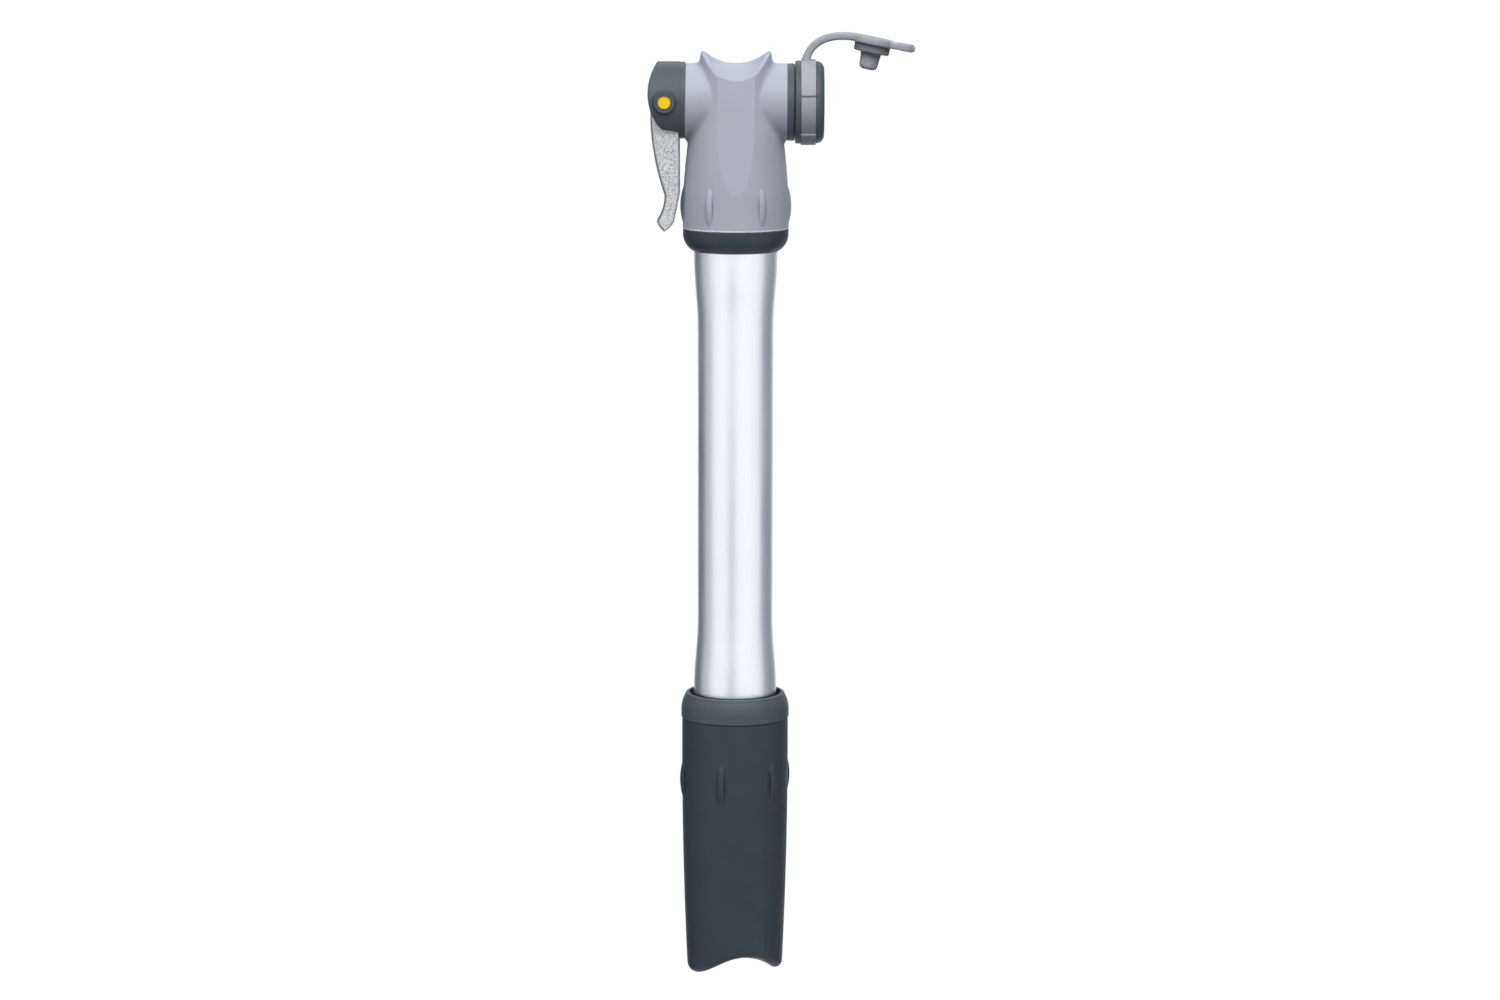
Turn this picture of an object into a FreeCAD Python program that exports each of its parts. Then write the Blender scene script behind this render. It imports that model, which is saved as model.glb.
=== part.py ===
import FreeCAD, Part
import math
import os

from FreeCAD import Matrix, Placement, Rotation, Vector

# A bicycle mini pump, in millimetres. Z runs up the barrel and X along the valve chuck, with the
# valve mouth at +X and the thumb lever at -X. The origin is the middle of the barrel's waist, on
# its axis, where a frame bracket clips on. The handle is closed and the lever folded down.

# --- Fits ---------------------------------------------------------------------------------------
running_gap = 0.05      # radial, a shaft turning or sliding in its bush
sliding_gap = 0.1       # radial, a plunger or piston in its bore
face_gap = 0.1          # between faces of pieces that move on each other
side_gap = 0.1          # each side of the lever in its slot

seam_edge = 0.25        # rounding on each side of a seam between two mouldings

# --- O-rings ------------------------------------------------------------------------------------
seal_section = 0.75     # radius of an O-ring's section
seal_slack = 0.1        # each side of an O-ring in its groove

# --- Barrel -------------------------------------------------------------------------------------
waist_radius = 8.7
waist_length = 66.0
flare_radius = 9.6      # at both ends of the waist
upper_flare = 19.2      # length over which the waist swells to the collar
lower_flare = 17.5
flare_ease = 0.45       # share of a flare's length over which it stays nearly upright at each end
neck_radius = 9.0       # of the ends held in the head and covered by the handle
neck_length = 13.8
tail_length = 52.2
barrel_bore = 7.0
neck_seal_up = 8.8      # from the foot of the neck to the middle of its seal groove

# --- Collar and head ----------------------------------------------------------------------------
collar_height = 5.0
collar_foot = 0.15       # its wall where it meets the barrel's flare
collar_bow = 0.65       # how far its side bows out
collar_rim = 1.0        # height of its upright rim
collar_spigot = 2.0
collar_spigot_wall = 1.3
foot_radius = 12.15
chuck_height = 29.1     # from the underside of the head to the chuck's axis
chuck_radius = 8.82
chuck_bore = 6.2
chuck_left = 11.6       # from the barrel's axis to the head's end faces
chuck_right = 11.85
liner_wall = 1.1        # wall of the spigots pressed into the chuck's ends
rib_seat_radius = 11.95 # of the head where the grip ribs stand
rib_seat_up = 10.05      # how far above the underside of the head it starts to narrow from there
shoulder_width = 11.15  # half sizes of the head's body at its shoulders
shoulder_depth = 11.5
shoulder_up = 18.9
throat_width = 9.75     # half sizes at the chuck's axis
throat_depth = 10.6
crown_width = 7.95       # half sizes at the tips of the horns
crown_depth = 9.9
crown_draft = 0.6       # how much narrower the body gets on its way past the tips
crown_over = 6.0        # how far it is carried past them before the saddle is cut
saddle_rise = 8.85       # from the chuck's axis to the middle of the saddle
saddle_hollow = 11.0    # radius of the saddle from horn to horn
saddle_crown = 13.2     # radius of the saddle from front to back
saddle_edge = 0.6       # rounding of the saddle's rim
saddle_sweep = 150.0    # degrees of the ring that cuts a saddle
blend_radius = 1.2      # between the head's body and the chuck
head_flat_cut = 1.0     # depth of the front and back flats at the chuck's axis
head_flat_fall = 20.5   # they die out this far below it

# --- Grip ribs on head and handle ---------------------------------------------------------------
rib_count = 6
rib_width = 1.7
rib_round = 0.7         # rounding of a rib's edges
head_rib_height = 0.8
head_rib_length = 9.0
head_rib_up = 5.45       # from the underside of the head to the middle of a rib
handle_rib_height = 1.1
handle_rib_length = 11.0
handle_rib_down = 20.2  # from the mouth of the handle to the middle of a rib

# --- Check valve --------------------------------------------------------------------------------
seat_height = 3.0
seat_hole = 1.3
ball_radius = 2.0
ball_lift = 1.0         # until the spring closes up
pocket_radius = 2.5
port_radius = 1.1
spring_wire = 0.25
spring_radius = 1.45
spring_turns = 4

# --- Chuck plunger and gasket -------------------------------------------------------------------
plunger_travel = 1.8    # for a quarter turn of the lever
gasket_length = 8.8
valve_port_radius = 3.1
plunger_bore = 2.2
plunger_seal_left = -6.4
plunger_seal_right = 4.9
air_channel = 1.0       # depth of the channel round the plunger
air_channel_left = -4.4
air_channel_right = 2.4
air_hole = 0.9

# --- Chuck nose, nut and tether ring ------------------------------------------------------------
nose_flange = 1.6
nose_spigot = 3.6       # length of the nose pressed into the head
thread_depth = 0.45     # the nose is this much slimmer where the nut screws on
thread_gap = 0.1
nut_rise = 3.0          # how far the nut can unscrew
nut_hold = 1.1          # length of thread that still holds it there
nut_spare = 0.3         # room in the nut past the end of the nose
nut_end_wall = 2.3
nut_mouth = 4.6
nut_lead = 0.6          # chamfer round the mouth
nut_flange_radius = 9.45
nut_face_radius = 9.35
nut_flange = 1.2
nut_round = 1.75
nut_groove_floor = 8.4
ring_width = 3.45
ring_radius = 9.4
ring_pad_radius = 9.78
upper_pad_start = 11.0  # the upper pad ends this many degrees above the chuck's axis
lower_pad_start = 47.0  # and the lower one this many degrees below it

# --- Dust cap, hanging open on its strap --------------------------------------------------------
cap_tilt = 11.5         # degrees that the open cap leans from level
cap_reach = 31.2       # from the barrel's axis to the middle of the cap's underside
cap_rise = 13.15         # from the chuck's axis to the same point
cap_radius = 4.7
cap_thickness = 1.75
cap_round = 0.6
cap_collar_radius = 4.1
cap_collar = 1.9
plug_radius = 2.35
plug_length = 3.9
plug_taper = 0.2
plug_round = 1.1
plug_dimple = 0.6
tab_reach = 9.7         # from the middle of the cap to the tip of its pull tab
tab_width = 5.4
tab_thickness = 1.5
tab_bead = 0.85         # radius of the bead across the tab's tip
tab_bead_length = 3.2
strap_width = 4.0
strap_thickness = 1.7
strap_side = 0.7        # from the middle of the ring to the middle of the strap's root
strap_root = 1.0        # how far into the pad the strap starts
strap_pull = 7.1        # how stiffly the strap leaves the ring
strap_lean = 1.1        # how far it leans towards the cap as it leaves the ring
strap_cap_pull = 3.2    # how stiffly it leaves the cap

# --- Thumb lever and its housing ----------------------------------------------------------------
lever_rib_gap = 0.1     # between the folded lever and the rib beside it
lever_thickness = 9.0
pivot_rise = 0.4        # of the pivot above the chuck's axis
lever_length = 29.85    # from pivot to tip
lever_inner = 3.4       # from pivot to the side that faces the head
lever_outer = 3.25       # from pivot to the thumb's side
lever_heel = 4.9        # from pivot down to where the thumb's side starts to slope
lever_belly = 0.6       # how far it bellies out between there and the neck
lever_neck = 3.45       # thickness at the thinnest point
lever_neck_down = 21.4
lever_kick = 1.75       # how far the tip turns out beyond the neck
lever_kick_bow = 0.45    # how far the thumb's side is hollowed there
lever_tip_height = 2.4  # of the pointed end
lever_tip_lean = 1.25   # how far it leans away from the head
lever_tip_bow = 0.25
lever_edge = 0.6        # rounding of the lever's front and back edges
cam_thickness = 5.0
cam_radius = 4.0        # from pivot to the plunger, lever folded
pin_radius = 1.3
pin_cap_radius = 1.43
pin_cap_height = 0.9
pin_cap_sink = 0.2      # the cap's face below the rim of its boss
boss_radius = 2.4
boss_height = 0.7
housing_radius = 8.85   # about an axis at the pivot's height
housing_flange_radius = 8.75
housing_round = 12.6    # radius of the rounded outer end, seen from the front
housing_round_up = 1.9
housing_end = 3.8       # from pivot to the outer end
housing_under = 7.1     # from the pivot down to the cheeks where they meet the flange
housing_lift = 0.7      # how much higher their underside is at its outer end
housing_spigot = 3.1
housing_edge = 0.5      # rounding of the cheeks' outer edges
slot_clearance = 0.5    # round the turning cam

# --- Piston, rod and handle ---------------------------------------------------------------------
piston_top_gap = 0.5
piston_height = 12.0
piston_seal_down = 3.4  # from the piston's top to the middle of its seal groove
piston_float = 0.5      # the seal slides this far in its groove, to let air past
rod_radius = 4.0
rod_bore = 2.8
rod_in_piston = 7.0
bush_length = 9.7
bush_flange = 2.0
top_out_height = 2.0
bumper_height = 2.0
bumper_radius = 9.0
foot_height = 1.6
rod_foot_radius = 5.5
foot_plug = 8.0
retainer_radius = 6.6
retainer_height = 3.9
handle_turn = 15.0      # degrees that the handle is turned from the head, as it is left
handle_bore = 10.7
handle_mouth_gap = 0.5  # from the end of the barrel's flare to the mouth of the handle
handle_top_radius = 12.35
handle_mid_radius = 12.1
handle_foot_radius = 10.9
handle_floor = 7.5      # from the floor inside to the middle of the saddle underneath
handle_hollow = 13.6
handle_crown = 27.0
handle_edge = 1.7
handle_flat_cut = 0.5
handle_flat_rise = 42.0
rim_height = 5.85
rim_radius = 12.55
rim_upright = 1.85      # height of its upright part
rim_lean = 0.95         # how far its side leans in above that
rim_bow = 0.24          # how far it bows out on the way
rim_lip = 0.5           # rounding of its mouth
rim_spigot = 3.6        # length of the handle's end inside the rim
rim_spigot_wall = 0.8

# --- Levels and stations worked out from the sizes above ----------------------------------------
waist_top = waist_length / 2
waist_bottom = -waist_top
collar_bottom = waist_top + upper_flare
barrel_top = collar_bottom + neck_length
tail_top = waist_bottom - lower_flare
barrel_bottom = tail_top - tail_length
head_bottom = collar_bottom + collar_height
chuck_z = head_bottom + chuck_height
saddle_z = chuck_z + saddle_rise
seat_top = barrel_top + seat_height
liner_radius = chuck_bore + liner_wall
ball_z = seat_top + math.sqrt(ball_radius ** 2 - seat_hole ** 2) + running_gap
spring_low = ball_z + math.sqrt((ball_radius + spring_wire + running_gap) ** 2 - spring_radius ** 2)
spring_high = spring_low + 2 * spring_wire * (spring_turns + 1) + ball_lift
pocket_top = spring_high + spring_wire + running_gap
bush_bottom = barrel_bottom - bush_flange
floor_z = bush_bottom - face_gap - bumper_height
retainer_bottom = floor_z - retainer_height
rod_bottom = retainer_bottom - face_gap
foot_bottom = rod_bottom - foot_height
handle_crest = floor_z - handle_floor
handle_mouth = tail_top - handle_mouth_gap
rim_bottom = handle_mouth - rim_height
piston_top = barrel_top - piston_top_gap
piston_bottom = piston_top - piston_height
rod_top = piston_bottom + rod_in_piston

pivot_x = -(rib_seat_radius + head_rib_height + lever_rib_gap + lever_inner)
pivot_z = chuck_z + pivot_rise
flange_x = pivot_x + lever_inner + face_gap
plunger_left = pivot_x + cam_radius + running_gap
nose_x = chuck_right + nose_flange
nose_end = nose_x + nut_rise + nut_hold
nut_left = nose_x + face_gap
nut_right = nose_end + nut_spare + nut_end_wall
gasket_right = nut_right - nut_end_wall - face_gap
gasket_left = gasket_right - gasket_length
plunger_right = gasket_left - face_gap
ring_left = nut_left + nut_flange + face_gap / 2
ring_right = ring_left + ring_width
cap_turn = Rotation(Vector(0, 1, 0), cap_tilt)
cap_place = Placement(Vector(cap_reach, 0, chuck_z + cap_rise), cap_turn)


def outline(start, *steps):
    """A closed face in the XZ plane. A step is a corner, or (a point on the way, the end) for an arc."""
    here = Vector(start[0], 0, start[1])
    edges = []
    for step in steps + (start,):
        curved = isinstance(step[0], tuple)
        end = Vector(step[1][0], 0, step[1][1]) if curved else Vector(step[0], 0, step[1])
        if curved:
            edges.append(Part.Arc(here, Vector(step[0][0], 0, step[0][1]), end).toShape())
        elif (end - here).Length > 1e-6:
            edges.append(Part.LineSegment(here, end).toShape())
        here = end
    return Part.Face(Part.Wire(edges))


def bowed(start, end, bow):
    """An outline's step that bows out to the right of the way from start to end, by this much."""
    length = math.hypot(end[0] - start[0], end[1] - start[1])
    right = ((end[1] - start[1]) / length, (start[0] - end[0]) / length)
    middle = ((start[0] + end[0]) / 2 + bow * right[0], (start[1] + end[1]) / 2 + bow * right[1])
    return (middle, end)


def arc_to(centre, radius, way, end):
    """An outline's step round a centre, by way of one angle in degrees to another."""
    points = []
    for angle in (way, end):
        turn = math.radians(angle)
        points.append((centre[0] + radius * math.cos(turn), centre[1] + radius * math.sin(turn)))
    return tuple(points)


def revolved(face):
    """A face of the XZ plane turned once round Z."""
    return face.revolve(Vector(0, 0, 0), Vector(0, 0, 1), 360)


def turned(start, *steps):
    """A solid of revolution about Z from an outline of (radius, height) points."""
    return revolved(outline(start, *steps))


def tube(outer, inner, low, high):
    """A plain ring about Z."""
    return turned((inner, low), (outer, low), (outer, high), (inner, high))


def rod(radius, low, high):
    """A plain round bar on Z."""
    return Part.makeCylinder(radius, high - low, Vector(0, 0, low))


def on_chuck(shape):
    """Lays a shape made about Z along the chuck's axis, so that its Z becomes X."""
    placed = shape.copy()
    placed.rotate(Vector(0, 0, 0), Vector(0, 1, 0), 90)
    placed.translate(Vector(0, 0, chuck_z))
    return placed


def on_pivot(shape):
    """The same at the pivot's height, for the housing."""
    return on_chuck(shape).translated(Vector(0, 0, pivot_rise))


def across(face, half_width):
    """Extrudes a face of the XZ plane to both sides of it."""
    slab = face.extrude(Vector(0, 2 * half_width, 0))
    slab.translate(Vector(0, -half_width, 0))
    return slab


def pivot_bar(radius, half_width):
    """A bar on the lever's pivot, from side to side."""
    return Part.makeCylinder(
        radius, 2 * half_width, Vector(pivot_x, -half_width, pivot_z), Vector(0, 1, 0)
    )


def seal_ring(inner_radius, height):
    """An O-ring about Z."""
    return Part.makeTorus(inner_radius + seal_section, seal_section, Vector(0, 0, height))


def seal_groove(floor_radius, outer_radius, height, extra=0.0):
    """The ring to cut away for an O-ring, with extra room below it."""
    half = seal_section + seal_slack
    return tube(outer_radius, floor_radius, height - half - extra, height + half)


def rounded(shape, radius, wanted):
    """Fillets the edges for which wanted(edge) is true."""
    return shape.makeFillet(radius, [e for e in shape.Edges if wanted(e)])


def circle_at(edge, radius, z):
    """True for a circle round Z with this radius at this height."""
    if not isinstance(edge.Curve, Part.Circle):
        return False
    centre = edge.Curve.Center
    return abs(edge.Curve.Radius - radius) < 1e-4 and abs(centre.z - z) < 1e-4


def ends_at(edge, axis, place):
    """True for an edge that lies in the plane at this place on the named axis."""
    middle = edge.valueAt(sum(edge.ParameterRange) / 2)
    points = [v.Point for v in edge.Vertexes] + [middle]
    return all(abs(getattr(p, axis) - place) < 1e-4 for p in points)


def s_curve(low_radius, low_z, high_radius, high_z):
    """A smooth swelling between two radii, upright at both ends, as an edge in the XZ plane."""
    ease = flare_ease * (high_z - low_z)
    curve = Part.BezierCurve()
    curve.setPoles([
        Vector(low_radius, 0, low_z),
        Vector(low_radius, 0, low_z + ease),
        Vector(high_radius, 0, high_z - ease),
        Vector(high_radius, 0, high_z),
    ])
    return curve.toShape()


def saddle_cutter(hollow, crown, crest_z, upward):
    """Half a torus round an axis along X, which leaves a saddle with its middle at crest_z."""
    side = 1 if upward else -1
    hub = Vector(0, 0, crest_z - side * crown)
    disc = Part.Face(Part.Wire(Part.makeCircle(
        hollow, Vector(0, 0, crest_z + side * hollow), Vector(0, 1, 0)
    )))
    disc.rotate(hub, Vector(1, 0, 0), -saddle_sweep / 2)
    return disc.revolve(hub, Vector(1, 0, 0), saddle_sweep)


def grip_ribs(surface_radius, middle_z, length, height):
    """Low lens-shaped ribs round Z, each the edge of a thin disc that stands out of the surface."""
    disc_radius = (length ** 2 / 4 + height ** 2) / (2 * height)
    centre_x = surface_radius + height - disc_radius
    disc = Part.makeCylinder(
        disc_radius, rib_width, Vector(centre_x, -rib_width / 2, middle_z), Vector(0, 1, 0)
    )
    disc = rounded(disc, rib_round, lambda e: isinstance(e.Curve, Part.Circle))
    keep = Part.makeBox(
        3 * height, 2 * rib_width, length,
        Vector(surface_radius - height, -rib_width, middle_z - length / 2)
    )
    rib = disc.common(keep)
    ribs = []
    for n in range(rib_count):
        one = rib.copy()
        one.rotate(Vector(0, 0, 0), Vector(0, 0, 1), n * 360 / rib_count)
        ribs.append(one)
    return ribs


def flat_cutters(flat_y, low_y, flat_z, low_z, reach_z):
    """Front and back wedges whose inner faces lean from low_y at low_z to flat_y at flat_z and on."""
    lean = (low_y - flat_y) / (low_z - flat_z)
    near_y = flat_y + lean * (reach_z - flat_z)
    far_y = 2 * max(low_y, flat_y)
    wedge = Part.Face(Part.makePolygon([
        Vector(0, low_y, low_z), Vector(0, near_y, reach_z), Vector(0, far_y, reach_z),
        Vector(0, far_y, low_z), Vector(0, low_y, low_z),
    ]))
    wedge.translate(Vector(-far_y, 0, 0))
    back = wedge.extrude(Vector(2 * far_y, 0, 0))
    return [back, back.mirror(Vector(0, 0, 0), Vector(0, 1, 0))]


# --- Barrel group -------------------------------------------------------------------------------
def barrel_tube():
    """The aluminium barrel: a straight bore, and an outside waisted between two flares."""
    corners = [
        Vector(barrel_bore, 0, barrel_bottom), Vector(neck_radius, 0, barrel_bottom),
        Vector(neck_radius, 0, tail_top - 2 * handle_mouth_gap),
        Vector(flare_radius, 0, tail_top - handle_mouth_gap),
        Vector(flare_radius, 0, tail_top), Vector(waist_radius, 0, waist_bottom),
        Vector(waist_radius, 0, waist_top), Vector(flare_radius, 0, collar_bottom),
        Vector(neck_radius, 0, collar_bottom), Vector(neck_radius, 0, barrel_top),
        Vector(barrel_bore, 0, barrel_top),
    ]
    flares = (Vector(flare_radius, 0, tail_top), Vector(waist_radius, 0, waist_top))
    edges = []
    for a, b in zip(corners, corners[1:] + corners[:1]):
        curved = a in flares
        edges.append(s_curve(a.x, a.z, b.x, b.z) if curved else Part.LineSegment(a, b).toShape())
    barrel = revolved(Part.Face(Part.Wire(edges)))
    floor = neck_radius - 2 * seal_section
    return barrel.cut(seal_groove(floor, 2 * neck_radius, collar_bottom + neck_seal_up))


def barrel_seal():
    """The O-ring that seals the barrel in the head."""
    return seal_ring(neck_radius - 2 * seal_section, collar_bottom + neck_seal_up)


def rod_bush():
    """The flanged bush in the barrel's lower end, which the rod slides through."""
    hole = rod_radius + running_gap
    inner_end = barrel_bottom + bush_length
    return turned(
        (hole, bush_bottom), (neck_radius, bush_bottom), (neck_radius, barrel_bottom),
        (barrel_bore, barrel_bottom), (barrel_bore, inner_end), (hole, inner_end),
    )


def top_out_washer():
    """The rubber washer that the piston meets when the handle is pulled right out."""
    low = barrel_bottom + bush_length
    return tube(barrel_bore, rod_radius + sliding_gap, low, low + top_out_height)


# --- Head group ---------------------------------------------------------------------------------
def head_section(half_width, half_depth, z):
    """An oval wire, made from a circle so that every section starts at the same point."""
    matrix = Matrix()
    matrix.scale(half_width, half_depth, 1)
    oval = Part.Wire(Part.makeCircle(1)).transformGeometry(matrix)
    oval.translate(Vector(0, 0, z))
    return oval


def lies_on(edge, solid):
    """True if the middle of the edge lies on the solid's surface."""
    first, last = edge.ParameterRange
    middle = Part.Vertex(edge.valueAt((first + last) / 2))
    return middle.distToShape(solid.Shells[0])[0] < 1e-3


def head_body():
    """The head's solid form: an oval body lofted up to two horns, blended into the chuck across it."""
    tips = saddle_z + saddle_hollow - math.sqrt(saddle_hollow ** 2 - crown_width ** 2)
    body = Part.makeLoft([
        head_section(foot_radius, foot_radius, head_bottom),
        head_section(rib_seat_radius, rib_seat_radius, head_bottom + rib_seat_up),
        head_section(shoulder_width, shoulder_depth, head_bottom + shoulder_up),
        head_section(throat_width, throat_depth, chuck_z),
        head_section(crown_width, crown_depth, tips),
        head_section(crown_width - crown_draft, crown_depth - crown_draft, tips + crown_over),
    ], True)
    chuck = on_chuck(turned(
        (0, -chuck_left), (chuck_radius - seam_edge, -chuck_left),
        (chuck_radius, seam_edge - chuck_left), (chuck_radius, chuck_right - seam_edge),
        (chuck_radius - seam_edge, chuck_right), (0, chuck_right),
    ))
    return rounded(body.fuse(chuck), blend_radius, lambda e: (
        not isinstance(e.Curve, (Part.Circle, Part.Line)) and lies_on(e, body) and lies_on(e, chuck)
    ))


def head_form():
    """The head's outside, with its flats, saddle and grip ribs."""
    cutters = flat_cutters(
        throat_depth - head_flat_cut, rib_seat_radius, chuck_z, chuck_z - head_flat_fall,
        saddle_z + saddle_hollow
    )
    cutters.append(saddle_cutter(saddle_hollow, saddle_crown, saddle_z, True))
    cutters.append(turned(
        (foot_radius - seam_edge, head_bottom), (foot_radius + 1, head_bottom),
        (foot_radius + 1, head_bottom + seam_edge + 1),
    ))
    form = head_body().cut(cutters)
    saddles = [f for f in form.Faces if isinstance(f.Surface, Part.Toroid)]
    form = form.makeFillet(saddle_edge, max(saddles, key=lambda f: f.Area).Edges)
    rib_z = head_bottom + head_rib_up
    return form.fuse(grip_ribs(rib_seat_radius, rib_z, head_rib_length, head_rib_height))


def head_housing():
    """The moulded head: hollowed for the barrel, the check valve, the air port and the chuck."""
    lip = neck_radius + collar_spigot_wall
    return head_form().cut([
        rod(neck_radius, head_bottom - 1, seat_top),
        rod(lip, head_bottom - 1, head_bottom + collar_spigot),
        rod(pocket_radius, seat_top - 1, pocket_top),
        rod(port_radius, pocket_top - 1, chuck_z),
        on_chuck(rod(chuck_bore, -chuck_left - 1, chuck_right + 1)),
        on_chuck(rod(liner_radius, -chuck_left - 1, housing_spigot - chuck_left)),
        on_chuck(rod(liner_radius, chuck_right - nose_spigot, chuck_right + 1)),
    ])


def head_collar():
    """The dark bowl under the head, with a spigot that locates it in the head's mouth."""
    rim_low = head_bottom - collar_rim
    foot = flare_radius + collar_foot
    lip = neck_radius + collar_spigot_wall
    return turned(
        (neck_radius, collar_bottom), (foot, collar_bottom),
        bowed((foot, collar_bottom), (foot_radius, rim_low), collar_bow),
        (foot_radius, head_bottom), (lip, head_bottom), (lip, head_bottom + collar_spigot),
        (neck_radius, head_bottom + collar_spigot),
    )


def valve_seat():
    """The disc clamped on top of the barrel, with the hole that the ball closes."""
    disc = rod(neck_radius, barrel_top, seat_top)
    return disc.cut(rod(seat_hole, barrel_top - 1, seat_top + 1))


def valve_ball():
    """The check valve's ball, on its seat."""
    return Part.makeSphere(ball_radius, Vector(0, 0, ball_z))


def valve_spring():
    """The light spring that returns the ball."""
    length = spring_high - spring_low
    helix = Part.makeHelix(length / spring_turns, length, spring_radius)
    section = Part.Wire(Part.makeCircle(spring_wire, Vector(spring_radius, 0, 0), Vector(0, 1, 0)))
    coil = Part.Wire(helix.Edges).makePipeShell([section], True, True)
    coil.translate(Vector(0, 0, spring_low))
    return coil


# --- Chuck group --------------------------------------------------------------------------------
def chuck_plunger():
    """The plunger that the lever's cam drives into the gasket, with its air channel and two grooves."""
    outer = chuck_bore - sliding_gap
    floor = chuck_bore - running_gap - 2 * seal_section
    body = rod(outer, plunger_left, plunger_right).cut([
        seal_groove(floor, 2 * outer, plunger_seal_left),
        seal_groove(floor, 2 * outer, plunger_seal_right),
        tube(2 * outer, outer - air_channel, air_channel_left, air_channel_right),
        rod(plunger_bore, air_channel_left, plunger_right + 1),
    ])
    middle = (air_channel_left + air_channel_right) / 2
    holes = Part.makeCylinder(air_hole, 2 * outer, Vector(-outer, 0, middle), Vector(1, 0, 0))
    return on_chuck(body.cut(holes))


def plunger_seals():
    """The plunger's two O-rings, one each side of the air channel."""
    inner = chuck_bore - running_gap - 2 * seal_section
    pair = [seal_ring(inner, plunger_seal_left), seal_ring(inner, plunger_seal_right)]
    return on_chuck(Part.makeCompound(pair))


def chuck_nose():
    """The sleeve pressed into the head's mouth, with the flange seen outside it and the nut's thread."""
    ring = turned(
        (chuck_bore, chuck_right - nose_spigot), (liner_radius, chuck_right - nose_spigot),
        (liner_radius, chuck_right), (chuck_radius, chuck_right), (chuck_radius, nose_x - seam_edge),
        (chuck_radius - seam_edge, nose_x), (liner_radius - thread_depth, nose_x),
        (liner_radius - thread_depth, nose_end), (chuck_bore, nose_end),
    )
    return on_chuck(ring)


def valve_gasket():
    """The rubber sleeve that is squeezed on to the tyre's valve."""
    return on_chuck(tube(chuck_bore - sliding_gap, valve_port_radius, gasket_left, gasket_right))


def valve_nut():
    """The smooth nut on the nose, grooved for the tether's ring, that holds the gasket in."""
    bore = liner_radius + thread_gap
    lip = nut_face_radius - nut_round
    ring = turned(
        (bore, nut_left), (nut_flange_radius - seam_edge, nut_left),
        (nut_flange_radius, nut_left + seam_edge), (nut_flange_radius, nut_left + nut_flange),
        (nut_groove_floor, nut_left + nut_flange),
        (nut_groove_floor, ring_right + face_gap / 2), (nut_face_radius, ring_right + face_gap / 2),
        (nut_face_radius, nut_right - nut_round),
        arc_to((lip, nut_right - nut_round), nut_round, 45, 90),
        (nut_mouth + nut_lead, nut_right), (nut_mouth, nut_right - nut_lead),
        (nut_mouth, nut_right - nut_end_wall),
        (bore, nut_right - nut_end_wall),
    )
    return on_chuck(ring)


def sector(start, end, reach, low, high):
    """A wedge about Z between two angles in degrees."""
    corners = [Vector(0, 0, low)]
    steps = 4
    for n in range(steps + 1):
        angle = math.radians(start + (end - start) * n / steps)
        corners.append(Vector(reach * math.cos(angle), reach * math.sin(angle), low))
    return Part.Face(Part.makePolygon(corners + corners[:1])).extrude(Vector(0, 0, high - low))


def tether_ring():
    """The rubber ring in the nut's groove, with a thick pad over its top and another underneath."""
    inner = nut_groove_floor + sliding_gap
    ring = tube(ring_radius, inner, ring_left, ring_right)
    pads = tube(ring_pad_radius, inner, ring_left, ring_right)
    reach = 2 * ring_pad_radius
    top = sector(90 + upper_pad_start, 270 - upper_pad_start, reach, ring_left, ring_right)
    foot = sector(lower_pad_start - 90, 90 - lower_pad_start, reach, ring_left, ring_right)
    return on_chuck(ring.fuse([pads.common(top), pads.common(foot)]).removeSplitter())


def dust_cap():
    """The dust cap: a disc with a pull tab, a collar for the nut's mouth and a plug for the gasket."""
    disc = rounded(rod(cap_radius, 0, cap_thickness), cap_round, lambda e: (
        circle_at(e, cap_radius, cap_thickness)
    ))
    tab = Part.makeBox(
        tab_reach - tab_width / 2, tab_width, tab_thickness, Vector(0, -tab_width / 2, 0)
    )
    tip = Part.makeCylinder(tab_width / 2, tab_thickness, Vector(tab_reach - tab_width / 2, 0, 0))
    bead = Part.makeCylinder(
        tab_bead, tab_bead_length, Vector(tab_reach - tab_bead, -tab_bead_length / 2, tab_bead),
        Vector(0, 1, 0)
    )
    end = plug_radius - plug_taper
    tip_z = -cap_collar - plug_length
    under = turned(
        (0, 0), (cap_collar_radius, 0), (cap_collar_radius, -cap_collar), (plug_radius, -cap_collar),
        (end, tip_z + plug_round), arc_to((end - plug_round, tip_z + plug_round), plug_round, -45, -90),
        (0, tip_z),
    ).cut(Part.makeSphere(plug_dimple, Vector(0, 0, tip_z)))
    cap = disc.fuse([tab, tip, bead, under]).removeSplitter()
    cap.Placement = cap_place
    return cap


def tether_strap():
    """The strap that joins the ring to the cap, swept along its bend."""
    root_x = (ring_left + ring_right) / 2 - strap_side
    root = Vector(root_x, 0, chuck_z + ring_pad_radius - strap_root)
    joint = cap_place.multVec(Vector(strap_root - cap_radius, 0, cap_thickness / 2))
    along = cap_turn.multVec(Vector(strap_cap_pull, 0, 0))
    bend = Part.BezierCurve()
    bend.setPoles([root, root + Vector(strap_lean, 0, strap_pull), joint - along, joint])
    half = strap_thickness / 2
    section = Part.makePolygon([
        root + Vector(x, y, 0)
        for x, y in (
            (-half, -strap_width / 2), (half, -strap_width / 2), (half, strap_width / 2),
            (-half, strap_width / 2), (-half, -strap_width / 2)
        )
    ])
    strap = Part.Wire(bend.toShape()).makePipeShell([section], True, False)
    return strap.cut([tether_ring(), dust_cap()])


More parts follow.
